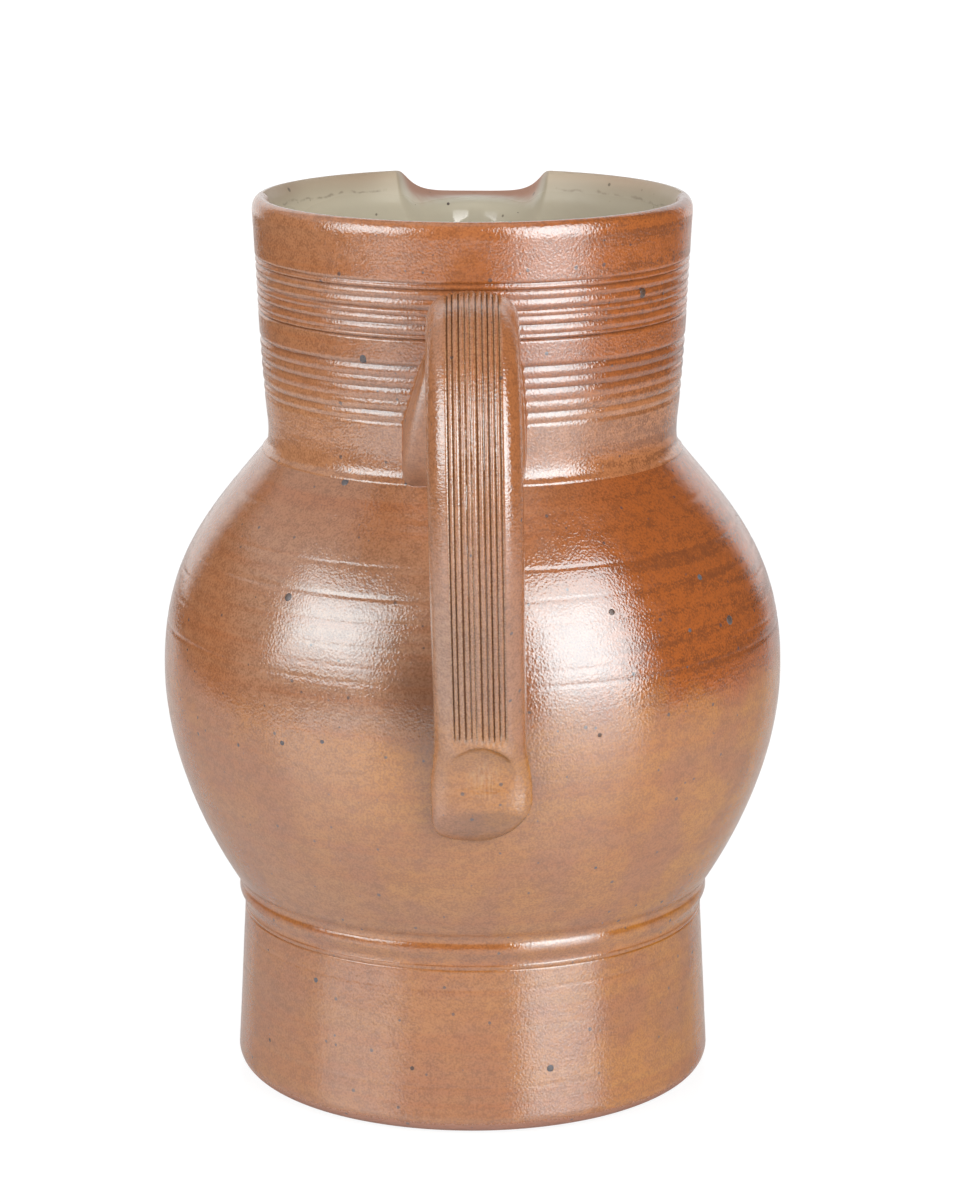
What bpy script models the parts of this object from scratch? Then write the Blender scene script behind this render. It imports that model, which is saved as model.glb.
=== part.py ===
"""Salt-glazed stoneware water pitcher.

A thrown foot, belly and collar are joined with slip. A beak is joined over a throat cut in the collar,
opposite a combed strap handle whose lower end is pressed on with the thumb. The inside is glazed.

Metres, +Z up. The origin is the middle of the flat base, the beak points to +Y and the handle to -Y.
"""

import math

import bmesh
import bpy

# Joints: a layer of slip with a clearance on both sides
CLEARANCE = 0.0003
SLIP_THICKNESS = 0.0006
SLIP_BEAD = 0.0004

# Foot
FOOT_HEIGHT = 0.0468
FOOT_RADIUS = 0.0676
FOOT_TOP_RADIUS = 0.0654
FOOT_WALL = 0.0075
BASE_ROUND = 0.0050
FLOOR_THICKNESS = 0.0090
FLOOR_COVE = 0.0140

# Belly, with a plain fillet and a bead above the foot joint
BELLY_HEIGHT = 0.1320
BELLY_RADIUS = 0.0872
EQUATOR_HEIGHT = 0.0690
SHOULDER_RADIUS = 0.0583
BELLY_WALL = 0.0062
FILLET_HEIGHT = 0.0018
BEAD_HEIGHT = 0.0058
BEAD_BULGE = 0.0015
BEAD_NOTCH = 0.0003
SPRING_ANGLE = 56.5
SHOULDER_ANGLE = 50.0

# Collar, with a rounded lip and two combed bands
COLLAR_HEIGHT = 0.0688
COLLAR_FOOT_RADIUS = 0.0563
RIM_RADIUS = 0.0609
COLLAR_WALL = 0.0056
LIP_ROUND = 0.0045
BAND_DEPTH = 0.0005
UPPER_BAND_DROP = 0.0166
UPPER_BAND_GROOVES = 7
UPPER_BAND_PITCH = 0.0022
LOWER_BAND_DROP = 0.0398
LOWER_BAND_GROOVES = 5
LOWER_BAND_PITCH = 0.0031

# Throat cut and beak
THROAT_WIDTH = 0.0430
THROAT_DEPTH = 0.0320
LIP_WIDTH = 0.0215
LIP_DROP = 0.0080
LIP_DISH = 0.0012
BEAK_REACH = 0.0240
BEAK_WALL = 0.0045
BEAK_LIP_WALL = 0.0030

# Strap handle
STRAP_WIDTH = 0.0243
STRAP_THICKNESS = 0.0120
ROOT_WIDTH = 0.0330
ROOT_THICKNESS = 0.0300
ROOT_SHIFT = -0.0022
ROOT_RISE = 0.0125
ROOT_ANGLE = 32.0
LANDING_ANGLE = -102.0
TAIL_ANGLE = -114.0
TONGUE_SWEEP = 76.0
FLARE_LENGTH = 0.0300
CROWN_DROP = 0.0153
CROWN_STANDOFF = 0.0180
STRAP_STANDOFF = 0.0325
OUTERMOST_RISE = 0.0030
LANDING_RISE = 0.0030
TERMINAL_LENGTH = 0.0290
TERMINAL_WIDTH = 0.0268
TERMINAL_THICKNESS = 0.0088
TAIL_STANDOFF = 0.0018
TONGUE_ROUND = 0.0125
TONGUE_FACET = 0.0085
STRAP_DRIFT = 0.0026
COMB_GROOVES = 10
COMB_PITCH = 0.0015
COMB_DEPTH = 0.0005
COMB_RUNOUT = 0.0050
THUMB_WIDTH = 0.0160
THUMB_DEPTH = 0.0022
THUMB_FROM_END = 0.0190

# Glaze on the inside
GLAZE_THICKNESS = 0.0008
LINER_EDGE = 130.0

# Facets
TURN_STEPS = 36
BELLY_STEPS = 5
COLLAR_STEPS = 5
ROUND_STEPS = 4
BEAK_STEPS = 8
BEAK_SECTION_STEPS = 6
STRAP_STEPS = 30
TONGUE_STEPS = 5
COURSE_STEPS = 30
THUMB_STEPS = 4
SHARP_ANGLE = 35.0
WELD = 1e-7

# Shape of the curves, as shares of the span that each curve bridges
SPRING_FULLNESS = 0.21
LOWER_FULLNESS = 0.43
UPPER_FULLNESS = 0.49
SHOULDER_FULLNESS = 0.40
COLLAR_LOWER_FLARE = 0.66
COLLAR_UPPER_FLARE = 0.68
TROUGH_FLOOR = 0.62
TROUGH_WALL = 0.60
TROUGH_FLARE = 0.25
NOSE_START = 0.60
NOSE_WIDTH = 0.50
SPOUT_GLAZE_END = 0.90
SPOUT_GLAZE_COVER = 0.75
COURSE_FULLNESS = 0.39
STRAP_SQUARENESS = 2.6
ROOT_SQUARENESS = 3.2
STRAP_CROWN = 0.80
TERMINAL_CROWN = 0.62
ROOT_CROWN = 0.50
STRAP_EDGE_SHARES = (0.0, 0.06, 0.22, 0.55)
STRAP_BACK_SHARES = (0.94, 0.78, 0.40, -0.40, -0.78, -0.94)
TONGUE_EDGE = 0.25
TONGUE_LEFT_POWER = 4.5
TONGUE_RIGHT_POWER = 1.7

# Heights that follow from the sizes above
JOINT = SLIP_THICKNESS + 2 * CLEARANCE
BELLY_BASE = FOOT_HEIGHT + JOINT
BELLY_SPRING = BELLY_BASE + FILLET_HEIGHT + BEAD_HEIGHT
EQUATOR = BELLY_BASE + EQUATOR_HEIGHT
BELLY_TOP = BELLY_BASE + BELLY_HEIGHT
COLLAR_BASE = BELLY_TOP + JOINT
RIM_HEIGHT = COLLAR_BASE + COLLAR_HEIGHT
LIP_BASE = RIM_HEIGHT - LIP_ROUND

# Inner radii at the joints
FOOT_BORE = FOOT_TOP_RADIUS - FOOT_WALL
NECK_BORE = COLLAR_FOOT_RADIUS - COLLAR_WALL

# Colours of the fired ware, as linear values, and how rough each surface is
STONEWARE = (0.42, 0.19, 0.075, 1.0)
STONEWARE_ROUGHNESS = 0.30
BARE_SLIP = (0.30, 0.13, 0.05, 1.0)
BARE_SLIP_ROUGHNESS = 0.40
LINER = (0.50, 0.46, 0.34, 1.0)
LINER_ROUGHNESS = 0.12


def clear_scene():
    """Remove whatever the scene holds."""
    for item in list(bpy.data.objects):
        bpy.data.objects.remove(item, do_unlink=True)


def make_material(name, colour, roughness):
    """A plain fired-clay or glaze material."""
    material = bpy.data.materials.new(name)
    material.use_nodes = True
    shader = material.node_tree.nodes["Principled BSDF"]
    shader.inputs["Base Color"].default_value = colour
    shader.inputs["Roughness"].default_value = roughness
    shader.inputs["Metallic"].default_value = 0.0
    return material


def smooth(share):
    """Ease from 0 to 1 with level ends."""
    share = min(max(share, 0.0), 1.0)
    return share * share * (3 - 2 * share)


def blend(start, end, share):
    """Value at a share of the way from start to end."""
    return start + (end - start) * share


def polar(length, degrees):
    """A step of the given length and direction."""
    angle = math.radians(degrees)
    return length * math.cos(angle), length * math.sin(angle)


def bezier(start, start_handle, end_handle, end, steps):
    """Points along a cubic curve, both ends included."""
    points = []
    for index in range(steps + 1):
        t = index / steps
        weights = ((1 - t) ** 3, 3 * (1 - t) ** 2 * t, 3 * (1 - t) * t * t, t ** 3)
        corners = (start, start_handle, end_handle, end)
        across = sum(weight * corner[0] for weight, corner in zip(weights, corners))
        up = sum(weight * corner[1] for weight, corner in zip(weights, corners))
        points.append((across, up))
    return points


def arc(centre, across, up, first, last, steps):
    """Points along an ellipse between two directions in degrees."""
    points = []
    for index in range(steps + 1):
        angle = math.radians(blend(first, last, index / steps))
        points.append((centre[0] + across * math.cos(angle), centre[1] + up * math.sin(angle)))
    return points


def offset(outline, distance):
    """Move an outline to the left of its direction, with mitred corners."""
    normals = []
    for (x0, y0), (x1, y1) in zip(outline, outline[1:]):
        length = math.hypot(x1 - x0, y1 - y0)
        normals.append(((y0 - y1) / length, (x1 - x0) / length))
    before = [normals[0]] + normals
    after = normals + [normals[-1]]
    moved = []
    for (x, y), first, second in zip(outline, before, after):
        mitre = 1 + first[0] * second[0] + first[1] * second[1]
        moved.append((x + distance * (first[0] + second[0]) / mitre,
                      y + distance * (first[1] + second[1]) / mitre))
    return moved


def add_object(name, shape, material=None):
    """Turn a bmesh into a named, smooth-shaded object."""
    bmesh.ops.recalc_face_normals(shape, faces=shape.faces)
    mesh = bpy.data.meshes.new(name)
    shape.to_mesh(mesh)
    shape.free()
    mesh.shade_smooth()
    mesh.set_sharp_from_angle(angle=math.radians(SHARP_ANGLE))
    if material:
        mesh.materials.append(material)
    item = bpy.data.objects.new(name, mesh)
    bpy.context.scene.collection.objects.link(item)
    return item


def turned(name, outline, material=None):
    """Turn an outline of radius and height about the Z axis."""
    shape = bmesh.new()
    points = [shape.verts.new((radius, 0, height)) for radius, height in outline]
    edges = [shape.edges.new(pair) for pair in zip(points, points[1:])]
    if outline[0][0] > 0:
        edges.append(shape.edges.new((points[-1], points[0])))
    bmesh.ops.spin(shape, geom=points + edges, cent=(0, 0, 0), axis=(0, 0, 1),
                   angle=2 * math.pi, steps=TURN_STEPS, use_merge=True)
    bmesh.ops.remove_doubles(shape, verts=shape.verts, dist=WELD)
    return add_object(name, shape, material)


def lofted(name, rings, material=None):
    """Skin a row of closed rings and cap both ends."""
    shape = bmesh.new()
    rows = [[shape.verts.new(point) for point in ring] for ring in rings]
    count = len(rows[0])
    for row, following in zip(rows, rows[1:]):
        for index in range(count):
            step = (index + 1) % count
            shape.faces.new((row[index], row[step], following[step], following[index]))
    shape.faces.new(rows[0])
    shape.faces.new(rows[-1])
    return add_object(name, shape, material)


def carve(piece, tool, operation):
    """Cut a piece with a hidden tool, or keep what they share."""
    tool.hide_render = True
    tool.display_type = "WIRE"
    modifier = piece.modifiers.new(tool.name, "BOOLEAN")
    modifier.operation = operation
    modifier.object = tool


def belly_curve():
    """Outside of the globe from the bead to the neck joint."""
    spring = (FOOT_TOP_RADIUS + BEAD_BULGE - BEAD_NOTCH, BELLY_SPRING)
    equator = (BELLY_RADIUS, EQUATOR)
    shoulder = (SHOULDER_RADIUS, BELLY_TOP)
    lower = EQUATOR - BELLY_SPRING
    upper = BELLY_TOP - EQUATOR
    outward, rising = polar(lower * SPRING_FULLNESS, SPRING_ANGLE)
    inward, falling = polar(upper * SHOULDER_FULLNESS, SHOULDER_ANGLE)
    rise = bezier(spring, (spring[0] + outward, spring[1] + rising),
                  (BELLY_RADIUS, EQUATOR - lower * LOWER_FULLNESS), equator, BELLY_STEPS)
    close = bezier(equator, (BELLY_RADIUS, EQUATOR + upper * UPPER_FULLNESS),
                   (shoulder[0] + inward, shoulder[1] - falling), shoulder, BELLY_STEPS)
    return rise + close[1:]


def collar_radius(height):
    """Plain outside radius of the collar at a height."""
    t = (height - COLLAR_BASE) / (LIP_BASE - COLLAR_BASE)
    flare = 3 * (1 - t) * t * (COLLAR_LOWER_FLARE * (1 - t) + COLLAR_UPPER_FLARE * t) + t ** 3
    return blend(COLLAR_FOOT_RADIUS, RIM_RADIUS, flare)


def collar_curve():
    """Plain outside of the collar from the neck joint to the lip."""
    heights = [blend(COLLAR_BASE, LIP_BASE, index / COLLAR_STEPS) for index in range(COLLAR_STEPS + 1)]
    return [(collar_radius(height), height) for height in heights]


def foot_inside():
    """Inside of the foot from the middle of the floor to the joint."""
    cove = arc((FOOT_BORE - FLOOR_COVE, FLOOR_THICKNESS + FLOOR_COVE), FLOOR_COVE, FLOOR_COVE,
               -90, 0, ROUND_STEPS)
    return [(0, FLOOR_THICKNESS)] + cove + [(FOOT_BORE, FOOT_HEIGHT)]


def belly_inside():
    """Inside of the globe from the foot joint to the neck joint."""
    wall = offset(belly_curve(), BELLY_WALL)
    return [(FOOT_BORE, BELLY_BASE)] + wall + [(NECK_BORE, BELLY_TOP)]


def collar_inside():
    """Inside of the collar from the neck joint to the lip."""
    return [(radius - COLLAR_WALL, height) for radius, height in collar_curve()]


def combed_band(top, grooves, pitch):
    """One band of grooves in the collar, from its lower edge up."""
    band = []
    for index in range(2 * grooves, -1, -1):
        height = top - index * pitch / 2
        depth = BAND_DEPTH if index % 2 else 0
        band.append((collar_radius(height) - depth, height))
    return band


def foot_drum():
    """The thrown foot with its floor and flat base."""
    edge = arc((FOOT_RADIUS - BASE_ROUND, BASE_ROUND), BASE_ROUND, BASE_ROUND, -90, 0, ROUND_STEPS)
    outside = [(0, 0)] + edge + [(FOOT_TOP_RADIUS, FOOT_HEIGHT)]
    return turned("foot_drum", outside + foot_inside()[::-1],
                  make_material("foot_stoneware", STONEWARE, STONEWARE_ROUGHNESS))


def belly_globe():
    """The thrown globe with its fillet and bead."""
    fillet = BELLY_BASE + FILLET_HEIGHT
    bead = arc((FOOT_TOP_RADIUS, fillet + BEAD_HEIGHT / 2), BEAD_BULGE, BEAD_HEIGHT / 2,
               -90, 0, ROUND_STEPS)
    outside = [(FOOT_TOP_RADIUS, BELLY_BASE)] + bead + belly_curve()
    return turned("belly_globe", outside + belly_inside()[::-1],
                  make_material("belly_stoneware", STONEWARE, STONEWARE_ROUGHNESS))


def neck_collar(throat):
    """The thrown collar with its combed bands, lip and throat cut."""
    lower = combed_band(RIM_HEIGHT - LOWER_BAND_DROP, LOWER_BAND_GROOVES, LOWER_BAND_PITCH)
    upper = combed_band(RIM_HEIGHT - UPPER_BAND_DROP, UPPER_BAND_GROOVES, UPPER_BAND_PITCH)
    lip = arc((RIM_RADIUS - COLLAR_WALL / 2, LIP_BASE), COLLAR_WALL / 2, LIP_ROUND, 0, 180, 2 * ROUND_STEPS)
    outside = [(COLLAR_FOOT_RADIUS, COLLAR_BASE)] + lower + upper + lip
    inside = collar_inside()[::-1][1:]
    collar = turned("neck_collar", outside + inside,
                    make_material("collar_stoneware", STONEWARE, STONEWARE_ROUGHNESS))
    carve(collar, throat, "DIFFERENCE")
    return collar


def slip_ring(name, height, bore, radius):
    """A ring of slip on a joint, squeezed out a little past both walls."""
    low = height + CLEARANCE
    high = low + SLIP_THICKNESS
    middle = (low + high) / 2
    outline = [(bore, low), (radius, low), (radius + SLIP_BEAD, middle), (radius, high), (bore, high)]
    return turned(name, outline, make_material(name, BARE_SLIP, BARE_SLIP_ROUGHNESS))


def body_envelope(name, distance):
    """A solid block of the whole outside, grown by a distance."""
    plain = belly_curve() + collar_curve() + [(RIM_RADIUS, RIM_HEIGHT + THROAT_DEPTH)]
    grown = offset(plain, -distance)
    return turned(name, [(0, grown[0][1])] + grown + [(0, grown[-1][1])])


def trough(half_width, edge, keel):
    """Section of the throat and the beak's inside, from its left edge to its right edge."""
    depth = edge - keel
    right = bezier((0, keel), (TROUGH_FLOOR * half_width, keel),
                   (TROUGH_WALL * half_width, edge - TROUGH_FLARE * depth), (half_width, edge),
                   BEAK_SECTION_STEPS)
    left = [(-across, up) for across, up in right[:0:-1]]
    return left + right


def throat_cutter():
    """The V cut from the lip down into the collar."""
    section = trough(THROAT_WIDTH / 2, RIM_HEIGHT, RIM_HEIGHT - THROAT_DEPTH)
    above = RIM_HEIGHT + LIP_ROUND
    section = [(section[0][0], above)] + section + [(section[-1][0], above)]
    near = NECK_BORE / 2
    far = RIM_RADIUS + BEAK_REACH
    return lofted("throat_cut", [[(across, reach, up) for across, up in section] for reach in (near, far)])


def beak_sections(inner, outer, outer_lip, last, cover):
    """Rings along the beak between two distances from its inside, up to a share of its outermost step."""
    start = math.sqrt(RIM_RADIUS ** 2 - (THROAT_WIDTH / 2) ** 2)
    rings = []
    for index in range(-1, BEAK_STEPS + 1):
        share = math.sin(max(index, 0) / BEAK_STEPS * math.pi / 2) * last
        swept = math.sin(share * math.pi / 2)
        edge = RIM_HEIGHT - LIP_DROP * swept
        keel = blend(RIM_HEIGHT - THROAT_DEPTH, RIM_HEIGHT - LIP_DROP - LIP_DISH, swept)
        past = max(0, share - NOSE_START) / (1 - NOSE_START)
        nose = math.sqrt(1 - (1 - NOSE_WIDTH ** 2) * past ** 2)
        half_width = blend(THROAT_WIDTH, LIP_WIDTH, swept) / 2 * nose
        section = trough(half_width, edge, keel)
        for end, beside in ((0, 1), (-1, -2)):
            section[end] = tuple(blend(a, b, cover) for a, b in zip(section[beside], section[end]))
        near = offset(section, -inner)
        far = offset(section, -blend(outer, outer_lip, share))
        reach = blend(start, RIM_RADIUS + BEAK_REACH, share) + min(index, 0) * COLLAR_WALL * 2
        rings.append([(across, reach, up) for across, up in near + far[::-1]])
    return rings


def pouring_spout(block):
    """The beak, seated on the collar's outside."""
    spout = lofted("pouring_spout", beak_sections(0, BEAK_WALL, BEAK_LIP_WALL, 1, 1),
                   make_material("spout_stoneware", STONEWARE, STONEWARE_ROUGHNESS))
    carve(spout, block, "DIFFERENCE")
    return spout


def spout_slip(slip_block, body_block):
    """The strip of slip under the beak's seat."""
    strip = lofted("spout_slip", beak_sections(0, BEAK_WALL, BEAK_LIP_WALL, 1, 1),
                   make_material("spout_slip", BARE_SLIP, BARE_SLIP_ROUGHNESS))
    carve(strip, slip_block, "INTERSECT")
    carve(strip, body_block, "DIFFERENCE")
    return strip


def collar_space():
    """The space inside the collar's glaze."""
    wall = [(radius - CLEARANCE - GLAZE_THICKNESS, height) for radius, height in collar_inside()]
    above = RIM_HEIGHT + LIP_ROUND
    return turned("collar_space", [(0, COLLAR_BASE)] + wall + [(wall[-1][0], above), (0, above)])


def spout_glaze():
    """The glaze over the throat cut and inside the beak, up to the collar's glaze."""
    face = -CLEARANCE
    back = -CLEARANCE - GLAZE_THICKNESS
    glaze = lofted("spout_glaze", beak_sections(back, face, face, SPOUT_GLAZE_END, SPOUT_GLAZE_COVER),
                   make_material("spout_glaze", LINER, LINER_ROUGHNESS))
    carve(glaze, collar_space(), "DIFFERENCE")
    return glaze


def liner_glaze(throat):
    """The glaze over the inside of foot, belly and collar."""
    lip = arc((RIM_RADIUS - COLLAR_WALL / 2, LIP_BASE), COLLAR_WALL / 2, LIP_ROUND, 180, LINER_EDGE, 2)
    walls = foot_inside() + belly_inside() + collar_inside() + lip[1:]
    face = offset(walls, CLEARANCE)
    back = offset(walls, CLEARANCE + GLAZE_THICKNESS)
    face[0] = (0, face[0][1])
    back[0] = (0, back[0][1])
    liner = turned("liner_glaze", face + back[::-1], make_material("liner_glaze", LINER, LINER_ROUGHNESS))
    carve(liner, throat, "DIFFERENCE")
    return liner


def outside_radius(height):
    """Plain outside radius of belly and collar at a height."""
    outline = belly_curve() + collar_curve()
    for (r0, z0), (r1, z1) in zip(outline, outline[1:]):
        if z0 <= height <= z1:
            return blend(r0, r1, (height - z0) / (z1 - z0))
    return outline[-1][0]


def strap_course():
    """Line along the strap's edges from inside the collar to the end of the tongue, as reach and height."""
    root_height = COLLAR_BASE + ROOT_RISE
    face = STRAP_THICKNESS * STRAP_CROWN
    crown_height = RIM_HEIGHT - CROWN_DROP - face
    landing_height = EQUATOR + LANDING_RISE
    tail_height = landing_height - TERMINAL_LENGTH
    stations = (
        ((outside_radius(root_height) - COLLAR_WALL, root_height), ROOT_ANGLE),
        ((outside_radius(crown_height) + CROWN_STANDOFF, crown_height), 0),
        ((BELLY_RADIUS + STRAP_STANDOFF - face, BELLY_TOP + OUTERMOST_RISE), -90),
        ((outside_radius(landing_height) + STRAP_THICKNESS - face, landing_height), LANDING_ANGLE),
        ((outside_radius(tail_height) + TAIL_STANDOFF, tail_height), TAIL_ANGLE),
    )
    course = []
    for (start, leaving), (end, arriving) in zip(stations, stations[1:]):
        reach = math.hypot(end[0] - start[0], end[1] - start[1]) * COURSE_FULLNESS
        out = polar(reach, leaving)
        back = polar(reach, arriving)
        course += bezier(start, (start[0] + out[0], start[1] + out[1]),
                         (end[0] - back[0], end[1] - back[1]), end, COURSE_STEPS)[1 if course else 0:]
    return course


def course_lengths(course):
    """Length along the course at each of its points."""
    lengths = [0.0]
    for (x0, y0), (x1, y1) in zip(course, course[1:]):
        lengths.append(lengths[-1] + math.hypot(x1 - x0, y1 - y0))
    return lengths


def course_at(course, lengths, distance):
    """Point and direction at a distance along the course."""
    index = 0
    while index < len(lengths) - 2 and lengths[index + 1] < distance:
        index += 1
    (x0, y0), (x1, y1) = course[index], course[index + 1]
    span = lengths[index + 1] - lengths[index]
    share = (distance - lengths[index]) / span
    return (blend(x0, x1, share), blend(y0, y1, share)), ((x1 - x0) / span, (y1 - y0) / span)


def strap_drift(course, height):
    """How far the strap leans to the right at a height."""
    crown = max(up for _, up in course)
    return STRAP_DRIFT * (crown - height) / (crown - course[-1][1])


def strap_size(distance, total):
    """Width, thickness, share of the thickness outside the edges and squareness at a distance."""
    flare = 1 - smooth(distance / FLARE_LENGTH)
    press = smooth(1 - (total - distance - TERMINAL_LENGTH / 2) / (TERMINAL_LENGTH / 2))
    width = blend(blend(STRAP_WIDTH, TERMINAL_WIDTH, press), ROOT_WIDTH, flare)
    thickness = blend(blend(STRAP_THICKNESS, TERMINAL_THICKNESS, press), ROOT_THICKNESS, flare)
    crown = blend(blend(STRAP_CROWN, TERMINAL_CROWN, press), ROOT_CROWN, flare)
    return width, thickness, crown, blend(STRAP_SQUARENESS, ROOT_SQUARENESS, flare)


def strap_section(width, thickness, crown, squareness, groove):
    """Section of the strap: a combed, domed outer face, rounded edges and a flatter inner face."""
    comb = COMB_GROOVES * COMB_PITCH / 2
    margins = [blend(width / 2, comb, share) for share in STRAP_EDGE_SHARES]
    combed = [-comb + index * COMB_PITCH / 2 for index in range(2 * COMB_GROOVES + 1)]
    section = []
    for across in [-margin for margin in margins] + combed + margins[::-1]:
        dome = max(0.0, 1 - abs(2 * across / width) ** squareness) ** (1 / squareness)
        section.append((across, dome * thickness * crown))
    first = len(margins)
    for index in range(1, 2 * COMB_GROOVES, 2):
        across, height = section[first + index]
        section[first + index] = (across, height - groove)
    for share in STRAP_BACK_SHARES:
        dome = (1 - abs(share) ** squareness) ** (1 / squareness)
        section.append((share * width / 2, dome * thickness * (crown - 1)))
    return section


def strap_rings():
    """Rings along the strap, from the flared root to the tip of the tongue."""
    course = strap_course()
    lengths = course_lengths(course)
    total = lengths[-1]
    straight = total - TONGUE_ROUND
    distances = [straight * index / STRAP_STEPS for index in range(STRAP_STEPS)]
    for index in range(TONGUE_STEPS + 1):
        past = math.sin(math.radians(TONGUE_SWEEP * index / TONGUE_STEPS))
        distances.append(straight + TONGUE_ROUND * past)
    rings = []
    for distance in distances:
        (reach, height), (outward, upward) = course_at(course, lengths, distance)
        fade = smooth((total - distance - TERMINAL_LENGTH) / COMB_RUNOUT)
        section = strap_section(*strap_size(distance, total), COMB_DEPTH * fade)
        side = blend(ROOT_SHIFT, strap_drift(course, height), smooth(distance / FLARE_LENGTH))
        past = max(0, distance - straight) / TONGUE_ROUND
        left = (1 - past ** TONGUE_LEFT_POWER) ** (1 / TONGUE_LEFT_POWER)
        right = (1 - past ** TONGUE_RIGHT_POWER) ** (1 / TONGUE_RIGHT_POWER)
        thinning = blend(TONGUE_EDGE, 1, min(1, (total - distance) / TONGUE_FACET))
        rings.append([(side + across * (left if across < 0 else right), -reach + up * thinning * upward,
                       height + up * thinning * outward) for across, up in section])
    return rings


def thumb_cutter():
    """The ball that presses the thumb mark into the terminal."""
    course = strap_course()
    lengths = course_lengths(course)
    distance = lengths[-1] - THUMB_FROM_END
    (reach, height), (outward, upward) = course_at(course, lengths, distance)
    _, thickness, crown, _ = strap_size(distance, lengths[-1])
    ball = (THUMB_WIDTH ** 2 / 4 + THUMB_DEPTH ** 2) / (2 * THUMB_DEPTH)
    rise = thickness * crown - THUMB_DEPTH + ball
    shape = bmesh.new()
    bmesh.ops.create_icosphere(shape, subdivisions=THUMB_STEPS, radius=ball)
    cutter = add_object("thumb_mark", shape)
    cutter.location = (strap_drift(course, height), -reach + rise * upward, height + rise * outward)
    return cutter


def strap_handle(block):
    """The pulled strap, seated on the collar and on the belly."""
    handle = lofted("strap_handle", strap_rings(),
                    make_material("handle_stoneware", STONEWARE, STONEWARE_ROUGHNESS))
    carve(handle, block, "DIFFERENCE")
    carve(handle, thumb_cutter(), "DIFFERENCE")
    return handle


def handle_slip(name, rings, slip_block, body_block):
    """A pad of slip under one end of the strap."""
    pad = lofted(name, rings, make_material(name, BARE_SLIP, BARE_SLIP_ROUGHNESS))
    carve(pad, slip_block, "INTERSECT")
    carve(pad, body_block, "DIFFERENCE")
    return pad


def main():
    """Build every piece of the pitcher."""
    clear_scene()
    throat = throat_cutter()
    body_block = body_envelope("body_block", CLEARANCE)
    slip_block = body_envelope("slip_block", CLEARANCE + SLIP_THICKNESS)
    joint_block = body_envelope("joint_block", JOINT)
    foot_drum()
    slip_ring("foot_slip", FOOT_HEIGHT, FOOT_BORE, FOOT_TOP_RADIUS)
    belly_globe()
    slip_ring("neck_slip", BELLY_TOP, NECK_BORE, min(SHOULDER_RADIUS, COLLAR_FOOT_RADIUS))
    neck_collar(throat)
    pouring_spout(joint_block)
    spout_slip(slip_block, body_block)
    strap_handle(joint_block)
    rings = strap_rings()
    middle = len(rings) // 2
    handle_slip("root_slip", rings[:middle], slip_block, body_block)
    handle_slip("terminal_slip", rings[middle:], slip_block, body_block)
    liner_glaze(throat)
    spout_glaze()


main()
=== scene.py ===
"""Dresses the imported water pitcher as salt-glazed stoneware and sets it in a plain white studio.

Metres, +Z up. The beak points to +Y and the handle to -Y, where the camera stands.
A bearing is an angle round the upright axis: 0 faces the camera, 90 is to its right, 180 is the beak.
"""

import logging
import math
from dataclasses import dataclass, field, replace
from enum import Enum

import bmesh
import bpy
import numpy as np
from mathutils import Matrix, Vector
from mathutils.bvhtree import BVHTree


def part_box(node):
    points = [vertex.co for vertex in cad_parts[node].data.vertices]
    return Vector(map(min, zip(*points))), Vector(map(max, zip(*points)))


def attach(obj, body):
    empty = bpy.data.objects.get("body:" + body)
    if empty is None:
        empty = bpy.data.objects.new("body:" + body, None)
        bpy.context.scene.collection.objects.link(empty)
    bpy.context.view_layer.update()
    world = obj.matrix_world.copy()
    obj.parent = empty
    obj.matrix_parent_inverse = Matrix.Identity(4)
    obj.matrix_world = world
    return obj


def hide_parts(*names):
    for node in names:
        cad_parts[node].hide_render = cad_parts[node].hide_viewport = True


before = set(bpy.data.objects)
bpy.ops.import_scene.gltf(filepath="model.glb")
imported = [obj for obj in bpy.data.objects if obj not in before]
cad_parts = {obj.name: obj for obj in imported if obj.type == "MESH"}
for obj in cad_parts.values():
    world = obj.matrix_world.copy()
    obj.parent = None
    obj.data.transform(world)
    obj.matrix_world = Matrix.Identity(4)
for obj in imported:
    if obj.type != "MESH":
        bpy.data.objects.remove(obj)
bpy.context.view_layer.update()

FOOT_BOX, BELLY_BOX, COLLAR_BOX, BEAK_BOX, STRAP_BOX = map(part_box, (
    "foot_drum", "belly_globe", "neck_collar", "pouring_spout", "strap_handle"))
BODY = "root"
LOG = logging.getLogger("pitcher")
WELD = 1e-6
SHARP_ANGLE = 48.0
TINY = 1e-12

Array = np.ndarray
Piece = bpy.types.Object
Material = bpy.types.Material
Node = bpy.types.Node
Socket = bpy.types.NodeSocket
Triple = tuple[float, float, float]
Colour = Triple
Pair = tuple[float, float]
# A zone says where an effect starts and ends and, unless they are 0 and 1, how strong it is there
Zone = tuple[float, ...]


def blend(start: float | Array, end: float | Array, share: float | Array) -> float | Array:
    """Value a share of the way from one value to another."""
    return start + (end - start) * share


def smooth(share: float | Array) -> float | Array:
    """Ease from 0 to 1 with level ends."""
    held = np.clip(share, 0.0, 1.0)
    return held * held * (3 - 2 * held)


def unit(vectors: Array) -> Array:
    """Vectors of the same directions with a length of 1."""
    return vectors / np.linalg.norm(vectors, axis=-1, keepdims=True)


def polar(length: float, degrees: float) -> Array:
    """Vector of a length at an angle above the outward direction."""
    angle = math.radians(degrees)
    return np.array((length * math.cos(angle), length * math.sin(angle)))


def swept(radius: Array, bearing: Array, height: Array) -> Array:
    """Points at radii, bearings in degrees and heights."""
    angle = np.radians(bearing)
    return np.stack(np.broadcast_arrays(radius * np.sin(angle), -radius * np.cos(angle), height), axis=-1)


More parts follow.
